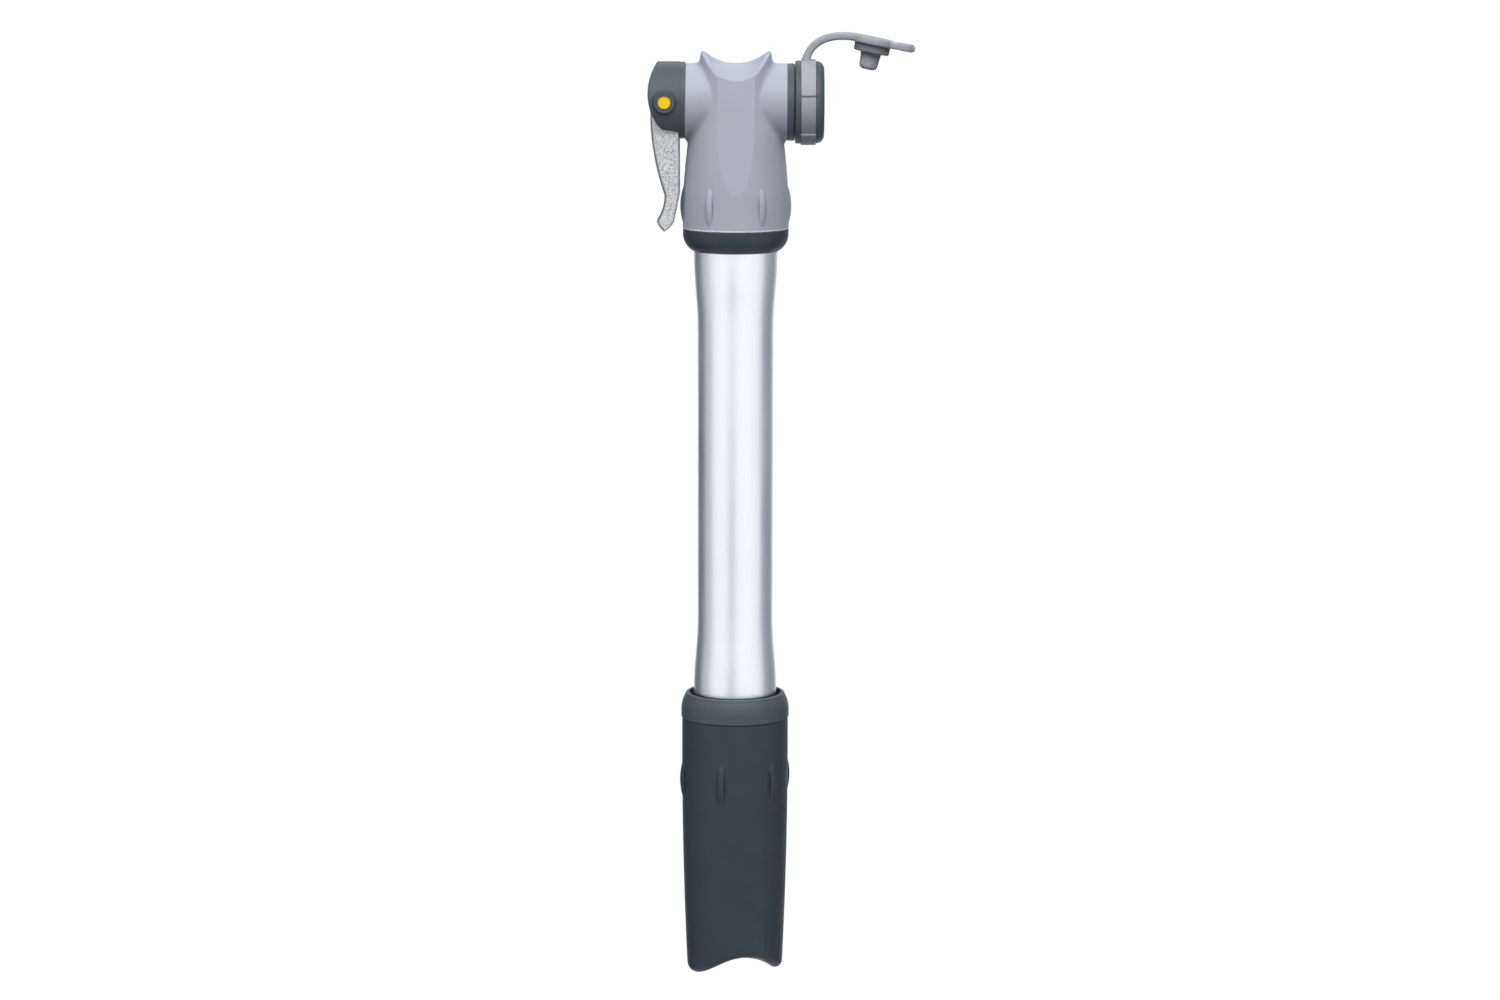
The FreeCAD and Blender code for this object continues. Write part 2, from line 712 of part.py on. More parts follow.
# --- Lever group --------------------------------------------------------------------------------
def housing_profile():
    """The lever housing seen from the front: a rounded outer end, a flat top and a sloping underside."""
    centre_x = pivot_x - housing_end + housing_round
    centre_z = pivot_z + housing_round_up
    top = pivot_z + housing_radius
    low = pivot_z - housing_under
    top_x = centre_x - math.sqrt(housing_round ** 2 - (top - centre_z) ** 2)
    low_x = centre_x - math.sqrt(housing_round ** 2 - (centre_z - low - housing_lift) ** 2)
    end = (centre_x - housing_round, centre_z)
    return outline(
        (flange_x, low), (low_x, low + housing_lift), (end, (top_x, top)), (flange_x, top)
    )


def lever_slot():
    """The gap between the cheeks, open outwards and downwards, with a roof over the cam."""
    reach = math.hypot(cam_radius + plunger_travel, cam_rise()) + slot_clearance
    roof = pivot_z + reach
    far = 2 * housing_radius
    half = lever_thickness / 2 + side_gap
    return across(outline(
        (flange_x, chuck_z - far), (pivot_x - far, chuck_z - far), (pivot_x - far, roof),
        (flange_x, roof),
    ), half)


def lever_housing():
    """The dark housing: two cheeks that carry the pin, on a flange with a spigot pressed in the head."""
    block = across(housing_profile(), 2 * housing_radius)
    block = block.common(on_pivot(rod(housing_radius, 4 * pivot_x, flange_x)))
    block = rounded(block, housing_edge, lambda e: not (
        ends_at(e, "x", flange_x) or isinstance(e.Curve, Part.Line)
    ))
    block = block.fuse(pivot_bar(boss_radius, housing_radius + boss_height).cut(
        pivot_bar(2 * boss_radius, 0.7 * housing_radius)
    ))
    flange = on_pivot(rod(housing_flange_radius, flange_x, -chuck_left))
    spigot = on_chuck(rod(liner_radius, -chuck_left, housing_spigot - chuck_left))
    rim = housing_radius + boss_height
    pocket = pivot_bar(pin_cap_radius, 2 * rim).cut(
        pivot_bar(2 * pin_cap_radius, rim - pin_cap_sink - pin_cap_height)
    )
    return block.fuse([flange, spigot]).cut([
        lever_slot(), pocket, pivot_bar(pin_radius, 2 * rim),
        on_chuck(rod(chuck_bore, flange_x - 1, 0)),
    ])


def lever_pin():
    """The steel pin that the lever turns on."""
    return pivot_bar(pin_radius, housing_radius + boss_height - pin_cap_sink - pin_cap_height)


def pin_caps():
    """The two yellow discs that cover the pin's ends."""
    outer = housing_radius + boss_height - pin_cap_sink
    bar = pivot_bar(pin_cap_radius, outer)
    return bar.cut(pivot_bar(2 * pin_cap_radius, outer - pin_cap_height))


def cam_rise():
    """How fast the cam's reach grows, in mm a radian."""
    return plunger_travel / (math.pi / 2)


def cam_point(angle):
    """The point where the cam's involute touches a flat face square to this angle."""
    reach = cam_radius + cam_rise() * angle
    return Vector(
        pivot_x + reach * math.cos(angle) - cam_rise() * math.sin(angle), 0,
        pivot_z + reach * math.sin(angle) + cam_rise() * math.cos(angle)
    )


def cam_profile():
    """The cam's face: an involute over the lever's quarter turn, closed by a round back."""
    spare = math.radians(8)
    count = 9
    angles = [-spare + (math.pi / 2 + 2 * spare) * n / (count - 1) for n in range(count)]
    points = [cam_point(a) for a in angles]
    curve = Part.BSplineCurve()
    curve.interpolate(points)
    back = Vector(pivot_x - lever_outer, 0, pivot_z)
    close = [
        Part.Arc(points[-1], back, Vector(pivot_x, 0, pivot_z - lever_outer)).toShape(),
        Part.LineSegment(Vector(pivot_x, 0, pivot_z - lever_outer), points[0]).toShape(),
    ]
    return Part.Face(Part.Wire([curve.toShape()] + close))


def lever_profile():
    """The folded lever seen from the front: straight towards the head, waisted above a kicked tip."""
    def at(x, down):
        return (pivot_x + x, pivot_z - down)

    head_turn = at(lever_inner - lever_outer, 0)
    heel = at(-lever_outer, lever_heel)
    neck = at(lever_inner - lever_neck, lever_neck_down)
    head_side = at(lever_inner - lever_tip_lean, lever_length - lever_tip_height)
    tip = at(lever_inner - lever_neck, lever_length)
    thumb_side = at(lever_inner - lever_neck - lever_kick, lever_length - lever_tip_height)
    return outline(
        at(lever_inner, 0), at(lever_inner, lever_neck_down), head_side,
        bowed(head_side, tip, -lever_tip_bow), bowed(tip, thumb_side, -lever_tip_bow),
        bowed(thumb_side, neck, lever_kick_bow), bowed(neck, heel, -lever_belly), at(-lever_outer, 0),
        arc_to((pivot_x, pivot_z), lever_outer, 135, 90), (head_turn[0], pivot_z + lever_outer),
        arc_to(head_turn, lever_outer, 45, 0),
    )


def thumb_lever():
    """The cast lever, with its cam in one piece between narrower shoulders."""
    half = lever_thickness / 2
    lever = rounded(across(lever_profile(), half), lever_edge, lambda e: (
        ends_at(e, "y", -half) or ends_at(e, "y", half)
    ))
    cam = across(cam_profile(), cam_thickness / 2)
    return lever.fuse(cam).cut(pivot_bar(pin_radius + running_gap, lever_thickness))


# --- Piston and rod -----------------------------------------------------------------------------
def piston_rod():
    """The tube between piston and handle."""
    return tube(rod_radius, rod_bore, rod_bottom, rod_top)


def piston_head():
    """The piston, with a wide groove in which its seal floats, and a socket for the rod."""
    outer = barrel_bore - sliding_gap
    floor = barrel_bore - running_gap - 2 * seal_section
    return rod(outer, piston_bottom, piston_top).cut([
        seal_groove(floor, 2 * outer, piston_top - piston_seal_down, piston_float),
        rod(rod_radius, piston_bottom - 1, rod_top),
    ])


def piston_seal():
    """The O-ring that floats in the piston's groove."""
    return seal_ring(
        barrel_bore - running_gap - 2 * seal_section, piston_top - piston_seal_down
    )


def rod_foot():
    """The flanged plug in the rod's lower end, which the handle swivels on."""
    return turned(
        (0, foot_bottom), (rod_foot_radius, foot_bottom), (rod_foot_radius, rod_bottom),
        (rod_bore, rod_bottom), (rod_bore, rod_bottom + foot_plug), (0, rod_bottom + foot_plug),
    )


# --- Handle group -------------------------------------------------------------------------------
def handle_skin():
    """The handle's outside before it is hollowed: bowed sides, the saddle underneath and the ribs."""
    low = handle_crest - handle_hollow / 2
    rib_z = handle_mouth - handle_rib_down
    side = outline(
        (0, low), (handle_foot_radius, low),
        ((handle_mid_radius, (low + rim_bottom) / 2), (handle_top_radius, rim_bottom - seam_edge)),
        (handle_top_radius - seam_edge, rim_bottom), (0, rim_bottom),
    )
    skin = revolved(side).cut(flat_cutters(
        handle_foot_radius - handle_flat_cut, handle_top_radius, handle_crest,
        handle_crest + handle_flat_rise, handle_crest - handle_hollow
    ))
    skin = skin.cut(saddle_cutter(handle_hollow, handle_crown, handle_crest, False))
    saddles = [f for f in skin.Faces if isinstance(f.Surface, Part.Toroid)]
    skin = skin.makeFillet(handle_edge, min(saddles, key=lambda f: f.BoundBox.ZMax).Edges)
    return skin.fuse(grip_ribs(handle_mid_radius, rib_z, handle_rib_length, handle_rib_height))


def turned_handle(shape):
    """Turns a piece of the handle as the handle is left."""
    placed = shape.copy()
    placed.rotate(Vector(0, 0, 0), Vector(0, 0, 1), handle_turn)
    return placed


def handle_shell():
    """The handle: a deep cup over the barrel's tail, with a swivel seat in its floor."""
    spigot_top = rim_bottom + rim_spigot
    shell = handle_skin().fuse(rod(handle_bore + rim_spigot_wall, rim_bottom, spigot_top))
    shell = shell.cut([
        rod(handle_bore, floor_z, spigot_top + 1),
        rod(retainer_radius, foot_bottom - face_gap, floor_z + 1),
    ])
    return turned_handle(shell)


def handle_rim():
    """The separate band round the handle's mouth: upright, then bowed in to a small lip."""
    outer = handle_bore + rim_spigot_wall
    upright = (rim_radius, rim_bottom + rim_upright)
    brow = (rim_radius - rim_lean, handle_mouth - rim_lip)
    lip = (brow[0] - rim_lip, brow[1])
    return turned(
        (outer, rim_bottom), (rim_radius - seam_edge, rim_bottom),
        (rim_radius, rim_bottom + seam_edge), upright, bowed(upright, brow, rim_bow),
        arc_to(lip, rim_lip, 45, 90), (handle_bore, handle_mouth),
        (handle_bore, rim_bottom + rim_spigot),
        (outer, rim_bottom + rim_spigot),
    )


def handle_bumper():
    """The rubber washer on the handle's floor."""
    return tube(bumper_radius, rod_radius + running_gap, floor_z, floor_z + bumper_height)


def swivel_retainer():
    """The ring that holds the rod's foot in the handle's floor."""
    return tube(retainer_radius, rod_radius + running_gap, retainer_bottom, floor_z)


PIECES = (
    head_housing, head_collar, barrel_tube, barrel_seal, rod_bush, top_out_washer, valve_seat,
    valve_ball, valve_spring, chuck_plunger, plunger_seals, chuck_nose, valve_gasket, valve_nut,
    tether_ring, tether_strap, dust_cap, lever_housing, lever_pin, pin_caps, thumb_lever,
    piston_rod, piston_head, piston_seal, rod_foot, handle_shell, handle_rim, handle_bumper,
    swivel_retainer,
)


def main():
    """Builds every piece and writes each to its own STEP file, named after it."""
    os.makedirs("parts", exist_ok=True)
    for piece in PIECES:
        piece().exportStep(f"parts/{piece.__name__}.step")


main()
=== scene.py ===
"""The mini pump's looks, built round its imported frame. Lengths are in mm where no unit is named."""
import logging
import math
from dataclasses import dataclass, replace
from enum import Enum

import bmesh
import bpy
from mathutils import Matrix, Vector


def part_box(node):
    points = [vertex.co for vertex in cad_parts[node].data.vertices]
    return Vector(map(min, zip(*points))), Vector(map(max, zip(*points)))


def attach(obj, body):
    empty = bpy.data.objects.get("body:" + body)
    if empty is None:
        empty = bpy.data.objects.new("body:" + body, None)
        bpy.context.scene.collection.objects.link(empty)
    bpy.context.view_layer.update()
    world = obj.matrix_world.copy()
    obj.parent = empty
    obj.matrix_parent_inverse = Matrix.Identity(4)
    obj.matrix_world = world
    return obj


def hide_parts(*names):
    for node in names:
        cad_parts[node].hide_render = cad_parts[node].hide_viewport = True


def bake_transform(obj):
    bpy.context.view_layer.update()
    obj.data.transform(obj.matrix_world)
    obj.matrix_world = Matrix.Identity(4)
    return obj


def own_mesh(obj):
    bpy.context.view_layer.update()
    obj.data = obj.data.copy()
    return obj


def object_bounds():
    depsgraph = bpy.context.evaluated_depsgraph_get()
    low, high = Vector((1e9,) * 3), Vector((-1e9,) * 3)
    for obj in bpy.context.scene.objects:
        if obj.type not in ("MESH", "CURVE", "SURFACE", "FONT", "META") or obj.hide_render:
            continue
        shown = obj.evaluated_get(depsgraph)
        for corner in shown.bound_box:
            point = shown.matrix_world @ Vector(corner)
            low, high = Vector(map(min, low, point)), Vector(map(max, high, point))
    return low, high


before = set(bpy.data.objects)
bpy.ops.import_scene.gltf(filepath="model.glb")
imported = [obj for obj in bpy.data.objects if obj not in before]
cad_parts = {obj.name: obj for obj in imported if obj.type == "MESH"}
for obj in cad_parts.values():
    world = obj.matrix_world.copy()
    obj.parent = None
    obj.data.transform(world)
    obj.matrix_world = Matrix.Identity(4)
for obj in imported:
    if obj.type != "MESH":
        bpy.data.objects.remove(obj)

LOG = logging.getLogger("mini_pump")
MM = 0.001
WELD = 0.001 * MM       # vertices nearer than this are one in a CAD node's loose triangles
SEAM = 0.0005 * MM      # and this near in a piece that was built here
WHITE = (1.0, 1.0, 1.0)
CAD_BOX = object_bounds()

Colour = tuple[float, float, float]
Point = tuple[float, float, float]
Socket = bpy.types.NodeSocket


# --- Node trees -----------------------------------------------------------------------------------
class Tree:
    """A node tree, with short calls that add nodes and join them."""

    def __init__(self, tree: bpy.types.NodeTree) -> None:
        """Starts an empty tree."""
        self.tree = tree
        self.tree.nodes.clear()

    def feed(self, target: Socket, value: object) -> None:
        """Fills an input.

        Args:
            target: The input to fill.
            value: An output to join to it, or a plain value to set on it.
        """
        if isinstance(value, bpy.types.NodeSocket):
            self.tree.links.new(value, target)
        else:
            target.default_value = value

    def node(
        self, kind: str, out: str, settings: dict[str, object] | None = None, **inputs: object
    ) -> Socket:
        """Adds a node.

        Args:
            kind: The node's type, without its ShaderNode prefix.
            out: The name of the output to return.
            settings: Attributes of the node itself.
            **inputs: Values or sockets for its inputs, spaces in their names as underscores.

        Returns:
            The node's named output.
        """
        made = self.tree.nodes.new("ShaderNode" + kind)
        for key, value in (settings or {}).items():
            setattr(made, key, value)
        for key, value in inputs.items():
            self.feed(made.inputs[key.replace("_", " ")], value)
        return made.outputs[out]

    def pair(self, kind: str, out: str, operation: str, first: object, second: object) -> Socket:
        """Adds a node whose two inputs share one name.

        Args:
            kind: The node's type, without its ShaderNode prefix.
            out: The name of the output to return.
            operation: What the node does with its two inputs.
            first: A value or socket for the first input.
            second: The same for the second.

        Returns:
            The node's named output.
        """
        made = self.node(kind, out, {"operation": operation})
        self.feed(made.node.inputs[0], first)
        self.feed(made.node.inputs[1], second)
        return made

    def span(
        self, value: Socket, low: float, high: float, to_low: float = 0.0, to_high: float = 1.0
    ) -> Socket:
        """Maps a value from one span to another.

        Args:
            value: The value to map.
            low: Where the first span starts.
            high: Where it ends.
            to_low: What is given at low and below.
            to_high: What is given at high and above.

        Returns:
            The mapped value.
        """
        made = self.node("MapRange", "Result", Value=value)
        names = ("From Min", "From Max", "To Min", "To Max")
        for name, number in zip(names, (low, high, to_low, to_high)):
            made.node.inputs[name].default_value = number
        return made

    def sum(self, first: Socket, second: object) -> Socket:
        """Adds two numbers."""
        return self.pair("Math", "Value", "ADD", first, second)

    def less(self, first: Socket, second: object) -> Socket:
        """Takes the second number from the first."""
        return self.pair("Math", "Value", "SUBTRACT", first, second)

    def times(self, first: Socket, second: object) -> Socket:
        """Multiplies two numbers."""
        return self.pair("Math", "Value", "MULTIPLY", first, second)

    def dot(self, first: Socket, second: object) -> Socket:
        """The dot product of two vectors."""
        return self.pair("VectorMath", "Value", "DOT_PRODUCT", first, second)

    def mean(self, first: Socket, second: Socket, share: float) -> Socket:
        """Mixes two numbers, with this share of the first."""
        return self.sum(self.times(first, share), self.times(second, 1 - share))

    def tinted(self, factor: Socket, first: object, second: object) -> Socket:
        """Mixes two colours.

        Args:
            factor: 0 for the first colour and 1 for the second.
            first: A colour, or a socket that gives one.
            second: The same.

        Returns:
            The mixed colour.
        """
        made = self.tree.nodes.new("ShaderNodeMix")
        made.data_type = "RGBA"
        self.feed(made.inputs["Factor"], factor)
        for name, colour in (("A", first), ("B", second)):
            joined = isinstance(colour, bpy.types.NodeSocket)
            self.feed(made.inputs[name], colour if joined else (*colour, 1))
        return made.outputs["Result"]

    def seen(self) -> Socket:
        """Tells the rays that show the scene from the plain light that falls on it.

        Returns:
            1 straight from the camera, in gloss or through glass, and 0 otherwise.
        """
        path = self.node("LightPath", "Is Camera Ray").node.outputs
        direct = self.sum(path["Is Camera Ray"], path["Is Glossy Ray"])
        return self.sum(direct, path["Is Transmission Ray"])


class Bench(Tree):
    """A material's node tree."""

    def __init__(self, name: str) -> None:
        """Starts a material with a Principled shader joined to its output.

        Args:
            name: The material's name.
        """
        self.material = bpy.data.materials.new(name)
        self.material.use_nodes = True
        super().__init__(self.material.node_tree)
        self.shader = self.tree.nodes.new("ShaderNodeBsdfPrincipled")
        self.output = self.tree.nodes.new("ShaderNodeOutputMaterial")
        self.feed(self.output.inputs["Surface"], self.shader.outputs["BSDF"])
        self.place = self.tree.nodes.new("ShaderNodeTexCoord").outputs["Object"]

    def moved(
        self, stretch: Point = (1, 1, 1), turn: float = 0.0, at: Point = (0, 0, 0)
    ) -> Socket:
        """Moves the object's coordinates.

        Args:
            stretch: A factor for each coordinate; a small one draws a pattern out.
            turn: Degrees about Z.
            at: The point that becomes the middle.

        Returns:
            The moved coordinates.
        """
        centred = self.pair("VectorMath", "Vector", "SUBTRACT", self.place, Vector(at) * MM)
        return self.node(
            "Mapping", "Vector", Vector=centred, Scale=stretch, Rotation=(0, 0, math.radians(turn))
        )

    def noise(
        self, size: float, detail: float = 2.0, rough: float = 0.5, place: Socket | None = None
    ) -> Socket:
        """Soft noise whose blobs measure about so many millimetres."""
        return self.node(
            "TexNoise", "Fac", Vector=place or self.place, Scale=1 / (size * MM), Detail=detail,
            Roughness=rough
        )

    def contrast(self, value: Socket) -> Socket:
        """Spreads the middle of a noise over the whole span from 0 to 1."""
        return self.span(value, 0.35, 0.65)

    def edges(self, radius: float, reach: float) -> Socket:
        """A mask of the corners, from how far a rounded normal turns away from the true one.

        Args:
            radius: The rounding in millimetres.
            reach: How far the normals have turned where the mask is full.

        Returns:
            0 on open faces and 1 on sharp corners.
        """
        soft = self.node("Bevel", "Normal", {"samples": 4}, Radius=radius * MM)
        true = self.node("NewGeometry", "Normal")
        return self.span(self.dot(soft, true), 1 - reach, 1.0, 1.0, 0.0)

    def hollows(self, reach: float) -> Socket:
        """A mask of the inner corners, full where half of the air in reach (mm) is closed off."""
        air = self.node(
            "AmbientOcclusion", "AO", {"samples": 8, "only_local": True}, Distance=reach * MM
        )
        return self.span(air, 0.50, 0.94, 1.0, 0.0)

    def bump(
        self, height: Socket, depth: float, strength: float = 1.0, under: Socket | None = None
    ) -> Socket:
        """Turns a height into a normal.

        Args:
            height: The height, from 0 to 1.
            depth: How much that is in millimetres.
            strength: How much of it shows.
            under: A normal to lay it over, where there is one.

        Returns:
            The new normal.
        """
        made = self.node("Bump", "Normal", Height=height, Distance=depth * MM, Strength=strength)
        if under is not None:
            self.feed(made.node.inputs["Normal"], under)
        return made

    def set(self, **values: object) -> None:
        """Feeds the shader's own inputs.

        Args:
            **values: Values or sockets for them, spaces in their names as underscores.
        """
        for key, value in values.items():
            if key == "Base_Color" and isinstance(value, tuple):
                value = (*value, 1)
            self.feed(self.shader.inputs[key.replace("_", " ")], value)


def shaded(colour: Colour, factor: float) -> Colour:
    """A colour made darker or paler by a factor, and no paler than white."""
    return tuple(min(1.0, factor * c) for c in colour)


# --- Finishes -------------------------------------------------------------------------------------
class Grain(Enum):
    """How a mould's surface is finished: the size and depth of its texture, in millimetres."""

    SATIN = (0.10, 0.010)
    SPARK = (0.16, 0.022)
    SMOOTH = (0.35, 0.004)


@dataclass(frozen=True)
class Moulded:
    """Injection-moulded plastic or rubber: a mould's texture, cloudy tone and rubbed corners.

    Lengths are millimetres. The parting line stands in an upright plane, turned by so many
    degrees. The lip is a painted highlight: a pale line just above the height lip_z.
    """

    name: str
    colour: Colour
    roughness: float
    grain: Grain = Grain.SPARK
    cloud: float = 0.05
    rub: Colour | None = None
    specular: float = 0.45
    parting_turn: float | None = None
    parting_wide: float = 0.03
    parting_fade: float = 0.06
    parting_depth: float = 0.04
    # Painted shade in the inner corners: how strong it is, its reach in mm and its darkest level.
    hollow_shade_strength: float = 0.85
    hollow_shade_reach: float = 0.8
    hollow_shade_level: float = 0.2
    lip_z: float | None = None
    lip_highlight_colour: Colour = (0.78, 0.80, 0.84)
    lip_wide: float = 0.45
    lip_fade: float = 0.17
    lip_speck: float = 0.5
    cloud_size: float = 7.0
    cloud_share: float = 0.65
    wave_size: float = 2.6
    wave_depth: float = 0.02
    rub_radius: float = 0.25
    rub_reach: float = 0.12
    rub_patch: float = 1.3
    rub_shine: float = 0.12

    def material(self) -> bpy.types.Material:
        """Builds the finish.

        Returns:
            The new material.
        """
        bench = Bench(self.name)
        size, depth = self.grain.value
        light, dark = shaded(self.colour, 1 + self.cloud), shaded(self.colour, 1 - self.cloud)
        tone = bench.noise(self.cloud_size, 3.0)
        speck = bench.noise(size, 1.0)
        mixed = bench.mean(tone, speck, self.cloud_share)
        colour = bench.tinted(bench.contrast(mixed), dark, light)
        shine = bench.span(tone, 0.3, 0.7, self.roughness + 0.05, self.roughness - 0.05)
        if self.rub is not None:
            patches = bench.span(bench.noise(self.rub_patch, 4.0), 0.4, 0.62, 0.15, 0.8)
            worn = bench.times(bench.edges(self.rub_radius, self.rub_reach), patches)
            colour = bench.tinted(worn, colour, self.rub)
            shine = bench.less(shine, bench.times(worn, self.rub_shine))
        # Painted highlight: a pale line along the lower edge.
        if self.lip_z is not None:
            colour = bench.tinted(self.lip_highlight(bench), colour, self.lip_highlight_colour)
        # Painted shade that a finish adds, such as the shadow under the cap's disc.
        colour = self.painted_shade(bench, colour)
        # Painted shade: the colour darkens in the inner corners, where the open air is closed off.
        hollow_shade = bench.times(bench.hollows(self.hollow_shade_reach), self.hollow_shade_strength)
        colour = bench.tinted(hollow_shade, colour, shaded(self.colour, self.hollow_shade_level))
        normal = bench.bump(speck, depth, 0.5)
        normal = bench.bump(bench.noise(self.wave_size, 2.0), self.wave_depth, 0.25, normal)
        if self.parting_turn is not None:
            normal = bench.bump(self.parting_line(bench), self.parting_depth, 0.7, normal)
        bench.set(
            Base_Color=colour, Roughness=shine, Specular_IOR_Level=self.specular, Normal=normal
        )
        return bench.material

    def painted_shade(self, bench: Bench, colour: Socket) -> Socket:
        """The colour with painted shade where a finish adds it: none on a plain moulding."""
        return colour

    def lip_highlight(self, bench: Bench) -> Socket:
        """Masks a painted highlight along the moulding's lower edge, broken into specks.

        Args:
            bench: The finish's bench.

        Returns:
            Nearly 1 on the specks and 0 off the line.
        """
        height = bench.node("SeparateXYZ", "Z", Vector=bench.place)
        full = self.lip_z + self.lip_wide
        line = bench.span(height, full * MM, (full + self.lip_fade) * MM, 1.0, 0.0)
        specks = bench.span(bench.noise(self.lip_speck, 3.0), 0.38, 0.56, 0.25, 0.9)
        return bench.times(line, specks)

    def parting_line(self, bench: Bench) -> Socket:
        """Masks the fine raised line where the two halves of the mould met.

        Args:
            bench: The finish's bench.

        Returns:
            1 on the line and 0 off it.
        """
        across = bench.node("SeparateXYZ", "Y", Vector=bench.moved(turn=-self.parting_turn))
        away = bench.node("Math", "Value", {"operation": "ABSOLUTE"})
        bench.feed(away.node.inputs[0], across)
        wide, fade = self.parting_wide * MM, self.parting_fade * MM
        return bench.span(away, wide, wide + fade, 1.0, 0.0)


@dataclass(frozen=True)
class CapRubber(Moulded):
    """The tether's rubber, with a painted shadow on the collar under the cap's disc.

    The middle is that of the disc's underside in mm, the tilt its lean in degrees.
    """

    middle: Point = (0, 0, 0)
    tilt: float = 0.0
    collar: float = 1.9
    soft_edge: float = 0.15
    # The darkest level of the painted shadow, as a share of the colour.
    collar_shadow_level: float = 0.22

    def painted_shade(self, bench: Bench, colour: Socket) -> Socket:
        """Paints the disc's shadow on the collar, darkest next to the disc.

        Args:
            bench: The finish's bench.
            colour: The colour that it has so far.

        Returns:
            The colour with the painted shadow on it.
        """
        lean = math.radians(self.tilt)
        up = (math.sin(lean), 0, math.cos(lean))
        height = bench.dot(bench.moved(at=self.middle), up)
        base = -self.collar * MM
        foot = bench.span(height, -(self.collar + self.soft_edge) * MM, base)
        brow = bench.span(height, -0.05 * MM, self.soft_edge * MM, 1.0, 0.0)
        depth = bench.span(height, base, 0.0, 0.45, 0.95)
        share = bench.times(bench.times(foot, brow), depth)
        return bench.tinted(share, colour, shaded(self.colour, self.collar_shadow_level))


@dataclass(frozen=True)
class SatinAluminium:
    """Anodised aluminium tube, drawn lengthwise, with faint streaks and a fine satin."""

    name: str
    colour: Colour
    roughness: float
    streak_size: float = 0.16
    satin_size: float = 0.09
    satin_depth: float = 0.012
    cloud_size: float = 9.0

    def material(self) -> bpy.types.Material:
        """Builds the finish.

        Returns:
            The new material.
        """
        bench = Bench(self.name)
        streak = bench.noise(self.streak_size, 2.0, place=bench.moved((1, 1, 0.03)))
        fine = bench.noise(self.satin_size, 1.0)
        cloud = bench.noise(self.cloud_size, 3.0, place=bench.moved((1, 1, 0.4)))
        both = bench.mean(streak, fine, 0.5)
        bench.set(
            Base_Color=bench.tinted(bench.contrast(both), shaded(self.colour, 0.93), self.colour),
            Metallic=1.0,
            Roughness=bench.span(cloud, 0.3, 0.7, self.roughness - 0.04, self.roughness + 0.04),
            Normal=bench.bump(both, self.satin_depth, 0.45),
        )
        return bench.material


@dataclass(frozen=True)
class CastAlloy:
    """Die-cast alloy, tumbled: bright grains and small dark pits, and painted shade on its outer side
    (−X).
    """

    name: str
    colour: Colour
    pit: Colour
    side: Colour
    roughness: float
    grain_size: float = 0.22
    pit_size: float = 0.26
    pit_depth: float = 0.05

    def material(self) -> bpy.types.Material:
        """Builds the finish.

        Returns:
            The new material.
        """
        bench = Bench(self.name)
        grain = bench.node(
            "TexVoronoi", "Color", Vector=bench.place, Scale=1 / (self.grain_size * MM)
        )
        level = bench.node("SeparateColor", "Red", Color=grain)
        rough = bench.noise(self.pit_size, 3.0, 0.6)
        colour = bench.tinted(level, self.colour, shaded(self.colour, 1.25))
        colour = bench.tinted(bench.times(bench.span(rough, 0.50, 0.62), 0.8), colour, self.pit)
        # Painted shade: the outer side, facing −X, is darkened towards the side colour.
        facing = bench.node("SeparateXYZ", "X", Vector=bench.place.node.outputs["Normal"])
        colour = bench.tinted(bench.span(facing, -0.40, -0.05, 0.9, 0.0), colour, self.side)
        bench.set(
            Base_Color=colour, Metallic=0.75,
            Roughness=bench.span(level, 0.0, 1.0, self.roughness - 0.1, self.roughness + 0.12),
            Normal=bench.bump(bench.sum(rough, bench.times(level, 0.3)), self.pit_depth, 0.6),
        )
        return bench.material


@dataclass(frozen=True)
class TurnedSteel:
    """Ground or plated steel, with the fine rings that grinding leaves and a trace of grease."""

    name: str
    colour: Colour
    roughness: float
    ring_stretch: Point = (0.02, 0.02, 1)
    ring_size: float = 0.08
    ring_depth: float = 0.004
    film_size: float = 3.0

    def material(self) -> bpy.types.Material:
        """Builds the finish.

        Returns:
            The new material.
        """
        bench = Bench(self.name)
        rings = bench.noise(self.ring_size, 2.0, place=bench.moved(self.ring_stretch))
        film = bench.noise(self.film_size, 3.0)
        bench.set(
            Base_Color=bench.tinted(bench.contrast(film), shaded(self.colour, 0.88), self.colour),
            Metallic=1.0,
            Roughness=bench.span(film, 0.3, 0.7, self.roughness, self.roughness + 0.1),
            Normal=bench.bump(rings, self.ring_depth, 0.4),
        )
        return bench.material


@dataclass(frozen=True)
class FloorPaper:
    """White paper: it takes the pump's shadow near by, and is plain white far off.

    Unlit is the paper that plain light meets. Near and far are metres from the waist's middle.
    """

    name: str
    colour: Colour
    unlit: Colour = (0.18, 0.18, 0.183)
    near: float = 0.28
    far: float = 0.55

    def material(self) -> bpy.types.Material:
        """Builds the finish.

        Returns:
            The new material.
        """
        bench = Bench(self.name)
        paper = bench.tinted(bench.noise(1.5, 3.0), shaded(self.colour, 0.985), self.colour)
        seen = bench.seen()
        bench.set(
            Base_Color=bench.tinted(seen, self.unlit, paper), Roughness=0.9, Specular_IOR_Level=0.1
        )
        away = bench.node("VectorMath", "Value", {"operation": "LENGTH"}, Vector=bench.place)
        share = bench.times(bench.span(away, self.near, self.far), seen)
        glow = bench.node("Emission", "Emission", Color=(*WHITE, 1), Strength=1.0)
        blend = bench.node("MixShader", "Shader", Fac=share)
        bench.feed(blend.node.inputs[1], bench.shader.outputs["BSDF"])
        bench.feed(blend.node.inputs[2], glow)
        bench.feed(bench.output.inputs["Surface"], blend)
        return bench.material


